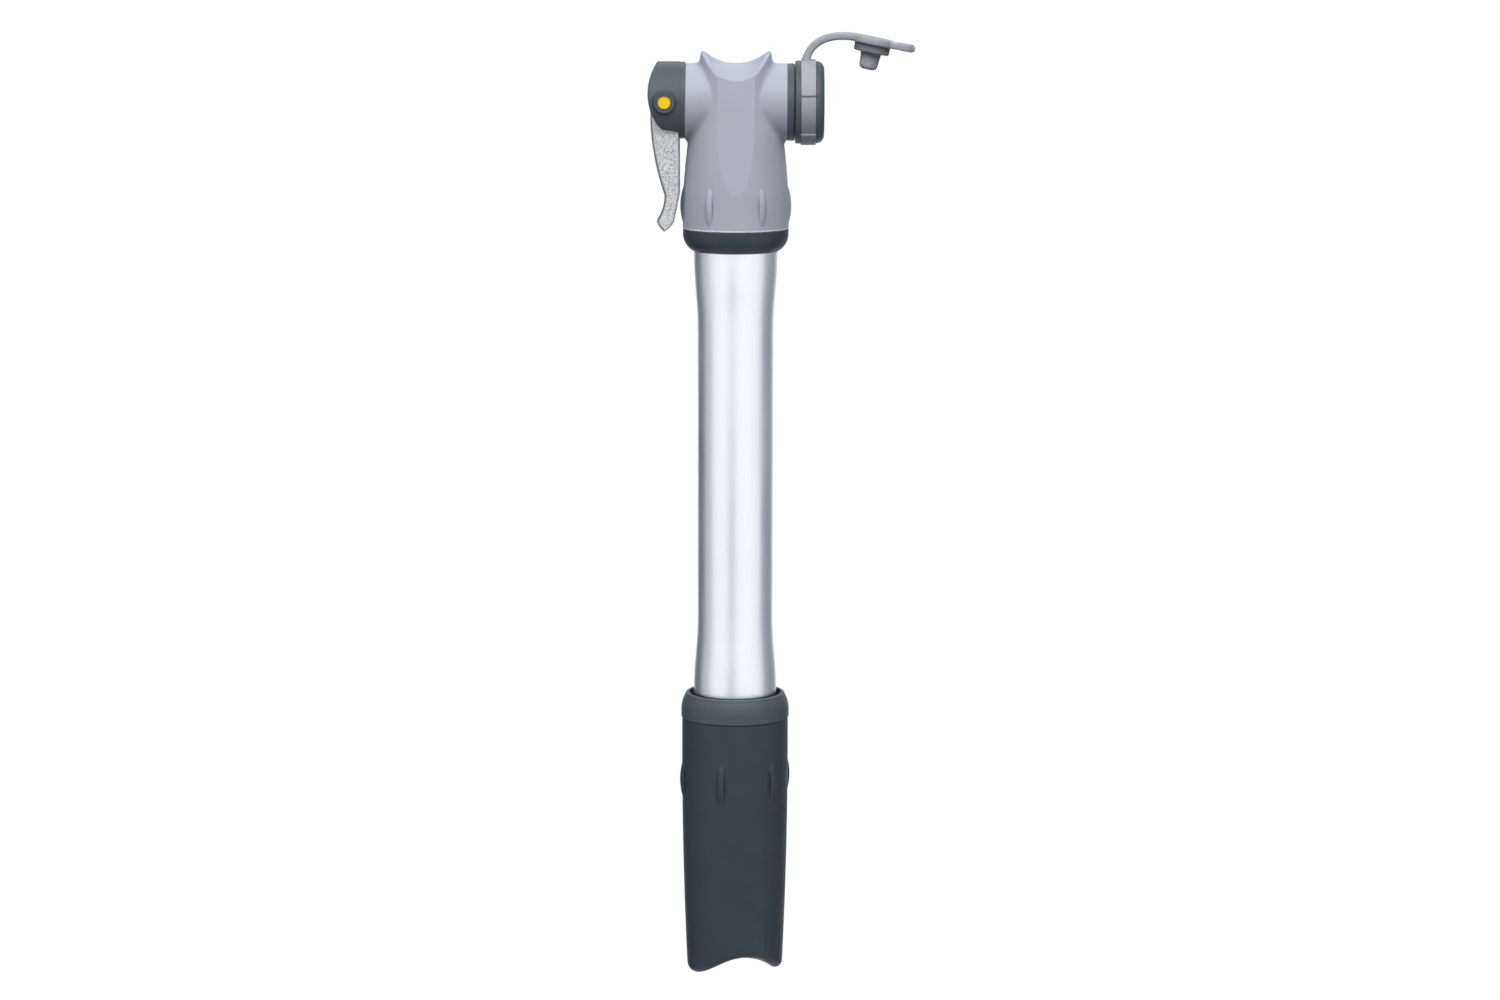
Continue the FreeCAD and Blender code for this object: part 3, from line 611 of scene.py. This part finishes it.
@dataclass(frozen=True)
class FlagCloth:
    """Dull cloth of this level of brightness, with a slightly blue cast."""

    name: str
    level: float
    cast: Colour = (0.88, 1.0, 1.14)

    def material(self) -> bpy.types.Material:
        """Builds the finish.

        Returns:
            The new material.
        """
        bench = Bench(self.name)
        dark = shaded(self.cast, self.level)
        cloth = bench.tinted(bench.noise(2.0, 2.0), dark, shaded(dark, 1.2))
        bench.set(Base_Color=cloth, Roughness=0.95)
        return bench.material


LIGHT_GREY = Moulded(
    "light_grey_plastic", (0.360, 0.393, 0.458), 0.44, Grain.SPARK, 0.04, (0.62, 0.65, 0.71),
    specular=0.28, parting_turn=0.0
)
SLATE = Moulded(
    "slate_plastic", (0.028, 0.042, 0.054), 0.46, Grain.SPARK, 0.08, (0.075, 0.10, 0.12),
    specular=0.34
)
# Painted light: a paler copy of the slate plastic, for the dark parts at the head and the handle's
# rim, in place of the top light that they catch.
SLATE_PAINTED_LIGHT = Moulded(
    "slate_plastic_painted_light", (0.066, 0.087, 0.102), 0.48, Grain.SPARK, 0.08, (0.105, 0.13, 0.15),
    specular=0.28
)
SLATE_HANDLE = Moulded(
    "slate_handle_plastic", (0.031, 0.047, 0.060), 0.50, Grain.SPARK, 0.08, (0.075, 0.10, 0.12),
    specular=0.29, parting_turn=15.0
)
TETHER = Moulded(
    "tether_rubber", (0.31, 0.33, 0.362), 0.52, Grain.SMOOTH, 0.03, specular=0.25, hollow_shade_strength=0.6
)
YELLOW = Moulded("yellow_cap_plastic", (1.0, 0.60, 0.008), 0.38, Grain.SMOOTH, 0.04, specular=0.3)
BLACK_RUBBER = Moulded("seal_rubber", (0.018, 0.018, 0.019), 0.48, Grain.SMOOTH, 0.12)
GASKET = Moulded("gasket_rubber", (0.028, 0.028, 0.03), 0.62, Grain.SATIN, 0.12)
BUMPER = Moulded("bumper_rubber", (0.035, 0.036, 0.038), 0.65, Grain.SATIN, 0.10)
BUSH = Moulded("bush_plastic", (0.60, 0.59, 0.55), 0.40, Grain.SATIN, 0.04)
VALVE = Moulded("valve_plastic", (0.55, 0.55, 0.52), 0.38, Grain.SMOOTH, 0.04)
PLUNGER = Moulded("plunger_plastic", (0.10, 0.10, 0.105), 0.38, Grain.SATIN, 0.08)
BARREL = SatinAluminium("barrel_aluminium", (0.925, 0.955, 0.99), 0.38)
# Its third colour is the painted shade on the lever's outer side.
LEVER = CastAlloy(
    "lever_alloy", (0.56, 0.565, 0.585), (0.13, 0.13, 0.135), (0.19, 0.188, 0.18), 0.46
)
CHROME = TurnedSteel("rod_chrome", (0.62, 0.62, 0.63), 0.16)
PIN = TurnedSteel("pin_steel", (0.50, 0.50, 0.51), 0.28)
BALL = TurnedSteel("ball_steel", (0.58, 0.58, 0.59), 0.12)
SPRING = TurnedSteel("spring_steel", (0.42, 0.42, 0.43), 0.30)
FLOOR = FloorPaper("floor_paper", (0.87, 0.87, 0.872))


# --- Shared building methods ----------------------------------------------------------------------
def finished(
    bm: bmesh.types.BMesh, name: str, finish: object, sharp: float = 35.0
) -> bpy.types.Object:
    """Turns a bmesh into a shaded object at the origin.

    Args:
        bm: The mesh in metres. It is freed.
        name: The piece's name.
        finish: What its surface is made of.
        sharp: Degrees above which an edge stays sharp.

    Returns:
        The object, linked to the scene.
    """
    bmesh.ops.remove_doubles(bm, verts=bm.verts, dist=SEAM)
    bmesh.ops.recalc_face_normals(bm, faces=bm.faces)
    for face in bm.faces:
        face.smooth = True
    for edge in bm.edges:
        edge.smooth = edge.calc_face_angle(math.pi) < math.radians(sharp)
    mesh = bpy.data.meshes.new(name)
    bm.to_mesh(mesh)
    bm.free()
    piece = bpy.data.objects.new(name, mesh)
    bpy.context.scene.collection.objects.link(piece)
    piece.data.materials.append(finish.material())
    return piece


def dress(finish: object, *nodes: str) -> None:
    """Gives a finish to CAD nodes, which keep their own shape.

    Args:
        finish: What they are made of.
        *nodes: Their names.
    """
    material = finish.material()
    for name in nodes:
        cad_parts[name].material_slots[0].material = material
        LOG.info("%s finished as %s", name, material.name)


def report(piece: bpy.types.Object) -> bpy.types.Object:
    """Logs a new piece's name and number of faces."""
    LOG.info("%s built with %d faces", piece.name, len(piece.data.polygons))
    return piece


def softened(
    node: str, name: str, finish: object, voxel: float, passes: int
) -> bpy.types.Object:
    """Copies a CAD node as one closed skin with soft corners, as a rubber moulding has.

    Args:
        node: The node to copy.
        name: The new piece's name.
        finish: What it is made of.
        voxel: The size of the skin's faces in millimetres.
        passes: How many times it is smoothed.

    Returns:
        The new piece.
    """
    bm = bmesh.new()
    bm.from_mesh(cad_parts[node].data)
    bmesh.ops.remove_doubles(bm, verts=bm.verts, dist=WELD)
    rough = finished(bm, name + "_rough", finish)
    skin = rough.modifiers.new("skin", "REMESH")
    skin.mode = "VOXEL"
    skin.voxel_size = voxel * MM
    bpy.context.view_layer.update()
    evaluated = rough.evaluated_get(bpy.context.evaluated_depsgraph_get())
    bm = bmesh.new()
    bm.from_mesh(evaluated.to_mesh())
    evaluated.to_mesh_clear()
    bpy.data.objects.remove(rough)
    for _ in range(passes):
        bmesh.ops.smooth_vert(
            bm, verts=bm.verts, factor=0.5, use_axis_x=True, use_axis_y=True, use_axis_z=True
        )
    return finished(bm, name, finish, 180.0)


@dataclass
class Helix:
    """A bar swept round an axis with a steady rise, as a thread's ridge or a coil spring."""

    axis: Point
    centre: Point
    pitch: float
    turns: float
    steps_a_turn: int = 48

    def sweep(self, bm: bmesh.types.BMesh, section: list[bmesh.types.BMFace]) -> None:
        """Spins a flat section.

        Args:
            bm: The mesh in metres.
            section: The section's faces, which stand where the sweep starts.
        """
        geometry = list({v for f in section for v in f.verts})
        geometry += list({e for f in section for e in f.edges}) + section
        steps = round(self.turns * self.steps_a_turn)
        bmesh.ops.spin(
            bm, geom=geometry, cent=Vector(self.centre) * MM, axis=Vector(self.axis),
            dvec=Vector(self.axis) * (self.pitch * MM / self.steps_a_turn),
            angle=2 * math.pi * self.turns, steps=steps, use_merge=False, use_duplicate=False
        )


class ThreadSide(Enum):
    """Which way a thread's ridge stands."""

    OUTSIDE = 1
    INSIDE = -1


@dataclass
class ThreadRidge:
    """A thread ridge round the chuck's axis. Foot and crest are widths, sink its root's depth."""

    name: str
    side: ThreadSide
    root: float
    height: float
    start: float
    turns: float
    pitch: float = 1.0
    foot: float = 0.62
    crest: float = 0.22
    sink: float = 0.04

    def build(self, chuck_z: float, finish: object) -> bpy.types.Object:
        """Builds the ridge, its root sunk a little into the wall that it stands on.

        Args:
            chuck_z: The height of the chuck's axis.
            finish: What the thread is cut in.

        Returns:
            The ridge.
        """
        bm = bmesh.new()
        bmesh.ops.create_grid(bm, x_segments=1, y_segments=1, size=0.5)
        way = self.side.value
        for vert in bm.verts:
            out = vert.co.y > 0
            wide = self.crest if out else self.foot
            radius = self.root + way * (self.height if out else -self.sink)
            vert.co = Vector((self.start + 2 * vert.co.x * wide / 2, 0, chuck_z + radius)) * MM
        Helix((1, 0, 0), (0, 0, chuck_z), self.pitch, self.turns).sweep(bm, list(bm.faces))
        return report(finished(bm, self.name, finish, 50.0))


def turned_ring(
    name: str, profile: list[tuple[float, float]], chuck_z: float, finish: object, steps: int = 96
) -> bpy.types.Object:
    """Turns a closed outline once round the chuck's axis.

    Args:
        name: The new piece's name.
        profile: The outline's corners, each with its x and its radius.
        chuck_z: The height of the axis.
        finish: What the ring is made of.
        steps: How many steps the turn takes.

    Returns:
        The ring.
    """
    bm = bmesh.new()
    verts = [bm.verts.new(Vector((x, 0, chuck_z + radius)) * MM) for x, radius in profile]
    edges = [bm.edges.new((a, b)) for a, b in zip(verts, verts[1:] + verts[:1])]
    bmesh.ops.spin(
        bm, geom=verts + edges, cent=Vector((0, 0, chuck_z)) * MM, axis=(1, 0, 0), dvec=(0, 0, 0),
        angle=2 * math.pi, steps=steps, use_merge=True, use_duplicate=False
    )
    return report(finished(bm, name, finish, 40.0))


# --- Sub-assemblies -------------------------------------------------------------------------------
@dataclass
class Head:
    """The moulded head and the dark bowl under it."""

    shell: Moulded = LIGHT_GREY
    collar: Moulded = SLATE

    def build(self) -> None:
        """Dresses the head's nodes."""
        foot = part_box("head_housing")[0].z / MM
        # The shell's lower edge gets a painted highlight.
        dress(replace(self.shell, lip_z=foot), "head_housing")
        dress(self.collar, "head_collar")


@dataclass
class Barrel:
    """The barrel with what is pressed into it, and the one-way valve on top of it."""

    wire: float = 0.25
    coil_radius: float = 1.45
    coils: float = 4.0
    wire_sides: int = 12
    steps_a_coil: int = 40
    ball_lift: float = 1.0

    def build(self) -> None:
        """Dresses the barrel's nodes and winds the valve's spring."""
        dress(BARREL, "barrel_tube")
        dress(BLACK_RUBBER, "barrel_seal")
        dress(BUSH, "rod_bush")
        dress(BUMPER, "top_out_washer")
        dress(VALVE, "valve_seat")
        dress(BALL, "valve_ball")
        self.spring()

    def spring(self) -> None:
        """Winds the spring that returns the ball."""
        low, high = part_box("valve_spring")
        start = low.z / MM + self.wire
        rise = high.z / MM - low.z / MM - 2 * self.wire
        bm = bmesh.new()
        circle = bmesh.ops.create_circle(
            bm, cap_ends=True, segments=self.wire_sides, radius=self.wire * MM,
            matrix=Matrix.Translation(Vector((self.coil_radius, 0, start)) * MM)
            @ Matrix.Rotation(math.pi / 2, 4, "X")
        )
        section = list({f for v in circle["verts"] for f in v.link_faces})
        helix = Helix((0, 0, 1), (0, 0, start), rise / self.coils, self.coils, self.steps_a_coil)
        helix.sweep(bm, section)
        coil = report(finished(bm, "valve_coil", SPRING))
        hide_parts("valve_spring")
        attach(coil, "pump_body")
        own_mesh(coil)


@dataclass
class Chuck:
    """The valve chuck: nose, nut, gasket and plunger, on an axis along X."""

    thread_root: float = 6.85
    thread_height: float = 0.47
    thread_start: float = 0.6       # from the nut's inner end, as nut_thread_start is
    thread_turns: float = 3.0
    nut_bore: float = 7.4
    nut_thread_height: float = 0.4
    nut_thread_start: float = 1.1
    nut_thread_turns: float = 2.4
    gasket_bore: float = 3.1
    gasket_groove: float = 0.25
    gasket_grooves: int = 4
    groove_sides: tuple[float, ...] = (0.3, 0.45, 0.7, 0.85)    # as shares of a groove's pitch
    gasket_lead: float = 0.5
    gasket_chamfer: float = 0.3
    plunger_travel: float = 1.8

    def build(self) -> None:
        """Dresses the chuck's nodes and adds its threads and gasket."""
        dress(SLATE_PAINTED_LIGHT, "chuck_nose", "valve_nut")
        dress(PLUNGER, "chuck_plunger")
        dress(BLACK_RUBBER, "plunger_seals")
        low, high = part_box("valve_nut")
        chuck_z = (low.z + high.z) / 2 / MM
        self.threads(chuck_z)
        self.gasket(chuck_z)

    def threads(self, chuck_z: float) -> None:
        """Cuts the nose's thread and the nut's, half a pitch apart so that they mesh.

        Args:
            chuck_z: The height of the chuck's axis.
        """
        nut_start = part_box("valve_nut")[0].x / MM
        nose = ThreadRidge(
            "nose_thread", ThreadSide.OUTSIDE, self.thread_root, self.thread_height,
            nut_start + self.thread_start, self.thread_turns
        ).build(chuck_z, SLATE_PAINTED_LIGHT)
        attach(nose, "pump_body")
        nut = ThreadRidge(
            "nut_thread", ThreadSide.INSIDE, self.nut_bore, self.nut_thread_height,
            nut_start + self.nut_thread_start, self.nut_thread_turns
        ).build(chuck_z, SLATE_PAINTED_LIGHT)
        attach(nut, "nut")

    def gasket(self, chuck_z: float) -> None:
        """Moulds the gasket with lead-ins and grip grooves in its bore.

        Args:
            chuck_z: The height of the chuck's axis.
        """
        low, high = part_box("valve_gasket")
        left, right = low.x / MM, high.x / MM
        outer = (high.z - low.z) / 2 / MM
        bore, lead, chamfer = self.gasket_bore, self.gasket_lead, self.gasket_chamfer
        groove = bore + self.gasket_groove
        pitch = (right - left - 2 * lead) / self.gasket_grooves
        profile = [(left, bore + lead), (left + lead, bore)]
        for n in range(self.gasket_grooves):
            start = left + lead + n * pitch
            for share, radius in zip(self.groove_sides, (bore, groove, groove, bore)):
                profile.append((start + share * pitch, radius))
        profile += [
            (right - lead, bore), (right, bore + lead), (right, outer - chamfer),
            (right - chamfer, outer), (left + chamfer, outer), (left, outer - chamfer),
        ]
        sleeve = turned_ring("gasket_sleeve", profile, chuck_z, GASKET)
        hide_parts("valve_gasket")
        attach(sleeve, "pump_body")
        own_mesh(sleeve)


@dataclass
class Tether:
    """The grey rubber ring in the nut's groove, its strap and the dust cap that hangs on it."""

    width: float = 4.0
    thickness: float = 1.7
    rounding: float = 0.26      # of the strap's section, as a share of its sides
    ring_side: float = 0.7      # from the middle of the ring to the strap's root
    ring_sink: float = 1.0      # how far into the ring's pad the strap starts
    pull: float = 7.1           # how stiffly the strap leaves the ring
    lean: float = 1.1           # how far it leans towards the cap there
    cap_pull: float = 3.2       # how stiffly it leaves the cap
    cap_drop: float = 1.18      # from the top of the strap's end to its middle
    cap_tilt: float = 11.5
    cap_radius: float = 4.7
    cap_thickness: float = 1.75
    cap_voxel: float = 0.11
    cap_passes: int = 30        # of smoothing
    band_voxel: float = 0.16
    band_passes: int = 2
    tab_middle: float = 0.8     # half of the pull tab's height
    tab_neck: float = 5.0       # where the tab starts, from the cap's middle
    tab_round: float = 8.7      # where its end starts to round
    tab_tip: float = 9.7
    tab_swell: float = 0.2
    tab_taper: float = 0.5
    root_flare: float = 1.35
    cap_flare: float = 1.12
    root_flare_rate: float = 6.0    # how many times over it would fade along the whole strap
    cap_flare_rate: float = 4.0
    flare_width: float = 0.4    # how much of a flare the strap's width takes
    root_free: float = 1.2      # from the strap's root to where it starts to bend
    cap_free: float = 1.6       # from where it stops bending to its end
    stations: int = 36

    def build(self) -> None:
        """Moulds the ring, the strap and the cap."""
        ring = report(
            softened("tether_ring", "tether_band", TETHER, self.band_voxel, self.band_passes)
        )
        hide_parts("tether_ring")
        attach(ring, "tether")
        self.cap()
        self.strap()

    def cap(self) -> None:
        """Moulds the dust cap, with a painted shadow on its collar and a rounded tab."""
        low, high = (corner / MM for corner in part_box("dust_cap"))
        lean = math.radians(self.cap_tilt)
        rubber = CapRubber(
            "cap_rubber", TETHER.colour, TETHER.roughness, TETHER.grain, TETHER.cloud,
            specular=TETHER.specular, tilt=self.cap_tilt,
            middle=(
                low.x + self.cap_radius * math.cos(lean), 0,
                high.z - self.cap_radius * math.sin(lean) - self.cap_thickness * math.cos(lean)
            )
        )
        cap = report(
            softened("dust_cap", "cap_moulding", rubber, self.cap_voxel, self.cap_passes)
        )
        self.shape_tab(cap, Vector(rubber.middle), lean)
        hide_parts("dust_cap")
        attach(cap, "cap")

    def shape_tab(self, cap: bpy.types.Object, middle: Vector, lean: float) -> None:
        """Raises the cap's pull tab a little on its outside and rounds its end.

        Args:
            cap: The cap's skin.
            middle: The middle of the disc's underside in millimetres.
            lean: How far the cap leans, in radians.
        """
        up = Vector((math.sin(lean), 0, math.cos(lean)))
        way = Vector((math.cos(lean), 0, -math.sin(lean)))
        for vert in cap.data.vertices:
            place = vert.co / MM - middle
            along, height = place.dot(way), place.dot(up) - self.tab_middle
            if along > self.tab_neck:
                swell = self.tab_swell * min(along - self.tab_neck, 1.0) if height > 0 else 0.0
                end = max((along - self.tab_round) / (self.tab_tip - self.tab_round), 0.0)
                taper = self.tab_taper * min(end, 1.0) ** 2
                vert.co += (swell - taper) * height * MM * up

    def path(self) -> list[tuple[Vector, Vector]]:
        """Bends the strap's middle line from the ring to the cap.

        Returns:
            The line's points in millimetres, each with its direction there.
        """
        low, high = (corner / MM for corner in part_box("tether_ring"))
        strap_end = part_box("tether_strap")[1] / MM
        root = Vector(((low.x + high.x) / 2 - self.ring_side, 0, high.z - self.ring_sink))
        joint = Vector((strap_end.x, 0, strap_end.z - self.cap_drop))
        tilt = math.radians(self.cap_tilt)
        way = Vector((math.cos(tilt), 0, -math.sin(tilt)))
        a, b = root, root + Vector((self.lean, 0, self.pull))
        c, d = joint - self.cap_pull * way, joint
        line = []
        for n in range(self.stations + 1):
            t = n / self.stations
            s = 1 - t
            point = s ** 3 * a + 3 * s * s * t * b + 3 * s * t * t * c + t ** 3 * d
            way = s * s * (b - a) + 2 * s * t * (c - b) + t * t * (d - c)
            line.append((point, way.normalized()))
        return line

    def strap(self) -> None:
        """Extrudes a rounded section along the path, flared where it meets the ring and the cap."""
        line = self.path()
        bm = bmesh.new()
        bmesh.ops.create_grid(bm, x_segments=1, y_segments=1, size=0.5)
        bmesh.ops.bevel(
            bm, geom=list(bm.verts), offset=self.rounding, offset_type="OFFSET", segments=4,
            profile=0.5, affect="VERTICES", material=-1
        )
        for vert in bm.verts:
            vert.co = Vector((vert.co.x * self.thickness, vert.co.y * self.width, 0)) * MM
        face = bm.faces[:]
        first = self.placed(line, 0)
        for vert in bm.verts:
            vert.co = first @ vert.co
        for n in range(1, len(line)):
            made = bmesh.ops.extrude_face_region(bm, geom=face)
            face = [g for g in made["geom"] if isinstance(g, bmesh.types.BMFace)]
            step = self.placed(line, n) @ self.placed(line, n - 1).inverted()
            new = [g for g in made["geom"] if isinstance(g, bmesh.types.BMVert)]
            bmesh.ops.transform(bm, matrix=step, verts=new)
        strap = report(finished(bm, "tether_strip", TETHER, 60.0))
        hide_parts("tether_strap")
        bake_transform(strap)

    def placed(self, line: list[tuple[Vector, Vector]], n: int) -> Matrix:
        """Stands the strap's section at a station, its thickness across the path, and flares it.

        Args:
            line: The strap's points and directions.
            n: The station's number.

        Returns:
            The matrix that moves the flat section there.
        """
        point, way = line[n]
        share = n / (len(line) - 1)
        flare = 1.0
        flare += (self.root_flare - 1) * max(0.0, 1 - self.root_flare_rate * share) ** 2
        flare += (self.cap_flare - 1) * max(0.0, 1 - self.cap_flare_rate * (1 - share)) ** 2
        side = Vector((0, 1, 0))
        normal = side.cross(way)
        turn = Matrix((normal, side, way)).transposed().to_4x4()
        scale = Matrix.Diagonal((flare, 1 + self.flare_width * (flare - 1), 1, 1))
        return Matrix.Translation(point * MM) @ turn @ scale


@dataclass
class LeverGroup:
    """The cast thumb lever in its dark housing, on a pin with yellow caps."""

    def build(self) -> None:
        """Dresses the lever's nodes."""
        dress(SLATE_PAINTED_LIGHT, "lever_housing")
        dress(LEVER, "thumb_lever")
        dress(PIN, "lever_pin")
        dress(YELLOW, "pin_caps")


@dataclass
class Piston:
    """The rod, the piston with its floating seal, and the foot that the handle swivels on."""

    def build(self) -> None:
        """Dresses the piston's nodes."""
        dress(CHROME, "piston_rod", "rod_foot")
        dress(BUSH, "piston_head")
        dress(BLACK_RUBBER, "piston_seal")


@dataclass
class Handle:
    """The handle, its rim and what is fixed inside it."""

    def build(self) -> None:
        """Dresses the handle's nodes."""
        dress(SLATE_HANDLE, "handle_shell")
        # The rim wears the paler slate copy: a painted highlight where its top catches light.
        dress(SLATE_PAINTED_LIGHT, "handle_rim")
        dress(BUMPER, "handle_bumper")
        dress(BUSH, "swivel_retainer")


# --- Studio ---------------------------------------------------------------------------------------
@dataclass(frozen=True)
class Softbox:
    """A rectangular lamp that points at the pump. Angles in degrees, lengths in metres."""

    name: str
    azimuth: float
    elevation: float
    distance: float
    wide: float
    tall: float
    share: float

    def build(self, target: Vector) -> None:
        """Hangs the lamp, its power worked out from the share of full light that it gives.

        Args:
            target: The point that it faces, in metres.
        """
        lamp = bpy.data.lights.new(self.name, "AREA")
        lamp.shape = "RECTANGLE"
        lamp.size = self.wide
        lamp.size_y = self.tall
        lamp.energy = self.share * math.pi ** 2 * self.distance ** 2
        holder = bpy.data.objects.new(self.name, lamp)
        bpy.context.scene.collection.objects.link(holder)
        turn, rise = math.radians(self.azimuth), math.radians(self.elevation)
        away = Vector((
            math.sin(turn) * math.cos(rise), -math.cos(turn) * math.cos(rise), math.sin(rise)
        ))
        holder.location = target + self.distance * away
        holder.rotation_euler = away.to_track_quat("Z", "Y").to_euler()
        holder.visible_camera = False


@dataclass(frozen=True)
class Flag:
    """An upright card near the pump that only gloss sees. Turn in degrees, sizes in metres."""

    name: str
    turn: float
    distance: float
    wide: float
    level: float
    tall: float = 0.7
    middle: float = 0.0

    def build(self) -> None:
        """Stands the card so that it faces the pump."""
        bm = bmesh.new()
        bmesh.ops.create_grid(
            bm, x_segments=2, y_segments=2, size=0.5,
            matrix=Matrix.Rotation(math.radians(self.turn), 4, "Z")
            @ Matrix.Translation((0, -self.distance, self.middle))
            @ Matrix.Rotation(math.pi / 2, 4, "X")
            @ Matrix.Diagonal((self.wide, self.tall, 1, 1))
        )
        card = finished(bm, self.name, FlagCloth(self.name + "_cloth", self.level))
        card.visible_camera = False
        card.visible_diffuse = False
        card.visible_shadow = False


@dataclass
class Studio:
    """A plain pale floor, soft lamps, flags for the gloss and the camera.

    The floor's sizes are metres, and the camera's are millimetres but for its clip_end. The room's
    light goes from horizon to sky over gradient, and what is seen of it is white below the first
    height of veil.
    """

    floor_size: float = 60.0
    floor_gap: float = 1.0 * MM
    handle_stroke: float = 0.1444
    camera_distance: float = 960.0
    camera_height: float = 140.0
    camera_side: float = 3.40
    camera_pitch: float = 8.636
    camera_roll: float = 0.12
    focal_length: float = 100.4
    sensor_width: float = 36.0
    clip_end: float = 100.0
    sky: Colour = (0.40, 0.405, 0.415)
    horizon: Colour = (0.11, 0.112, 0.115)
    gradient: tuple[float, float] = (0.05, 0.8)
    veil: tuple[float, float] = (0.15, 0.35)
    flags: tuple[Flag, ...] = (
        Flag("flag_left", -127.0, 0.20, 0.185, 0.14),
        Flag("flag_left_pale", -86.0, 0.26, 0.11, 0.90),
        Flag("flag_right", 114.5, 0.20, 0.24, 0.38),
        Flag("flag_front", -10.0, 0.35, 0.10, 0.72, 0.5, -0.28),
    )
    lamps: tuple[Softbox, ...] = (
        Softbox("left_softbox", -47, 45, 1.1, 0.7, 0.9, 0.48),
        Softbox("right_softbox", 33, 45, 1.2, 0.6, 0.9, 0.54),
        Softbox("front_softbox", -4, 44, 1.8, 1.2, 0.9, 0.32),
        Softbox("rear_softbox", 170, 50, 1.4, 1.0, 1.0, 0.2),
    )

    def build(self) -> None:
        """Sets up the whole studio round the pump's box."""
        low, high = CAD_BOX
        self.floor(low.z - self.handle_stroke)
        self.world()
        target = Vector((0, 0, (low.z + high.z) / 2))
        for lamp in self.lamps:
            lamp.build(target)
        for flag in self.flags:
            flag.build()
        self.camera()
        bpy.context.scene.view_settings.view_transform = "Standard"

    def floor(self, level: float) -> None:
        """Lays the floor, low enough for the drawn-out handle, and plain white far off.

        Args:
            level: Where the drawn-out handle ends, in metres.
        """
        bm = bmesh.new()
        bmesh.ops.create_grid(
            bm, x_segments=8, y_segments=8, size=self.floor_size / 2,
            matrix=Matrix.Translation((0, 0, level - self.floor_gap))
        )
        finished(bm, "floor", FLOOR)

    def world(self) -> None:
        """Fills the room with light that is paler overhead, and shows it white low down."""
        world = bpy.data.worlds.new("room")
        bpy.context.scene.world = world
        world.use_nodes = True
        room = Tree(world.node_tree)
        height = room.node("SeparateXYZ", "Z", Vector=room.node("TexCoord", "Generated"))
        light = room.tinted(room.span(height, *self.gradient), self.horizon, self.sky)
        share = room.times(room.seen(), room.span(height, *self.veil, 1.0, 0.0))
        glow = room.node("Background", "Background", Color=room.tinted(share, light, WHITE))
        output = room.tree.nodes.new("ShaderNodeOutputWorld")
        room.feed(output.inputs["Surface"], glow)

    def camera(self) -> None:
        """Puts the camera in front, a little above the head and looking down."""
        data = bpy.data.cameras.new("camera")
        data.lens = self.focal_length
        data.sensor_width = self.sensor_width
        data.clip_end = self.clip_end
        camera = bpy.data.objects.new("camera", data)
        bpy.context.scene.collection.objects.link(camera)
        camera.location = Vector((self.camera_side, -self.camera_distance, self.camera_height)) * MM
        aim = Matrix.Rotation(math.radians(90 - self.camera_pitch), 3, "X")
        camera.rotation_euler = (
            aim @ Matrix.Rotation(math.radians(self.camera_roll), 3, "Z")
        ).to_euler()
        bpy.context.scene.camera = camera


def main() -> None:
    """Builds the pump's sub-assemblies and the studio."""
    logging.basicConfig(level=logging.INFO, format="%(name)s: %(message)s")
    for group in (Head(), Barrel(), Chuck(), Tether(), LeverGroup(), Piston(), Handle()):
        LOG.info("building %s", type(group).__name__)
        group.build()
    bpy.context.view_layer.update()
    Studio().build()


if __name__ == "__main__":
    main()
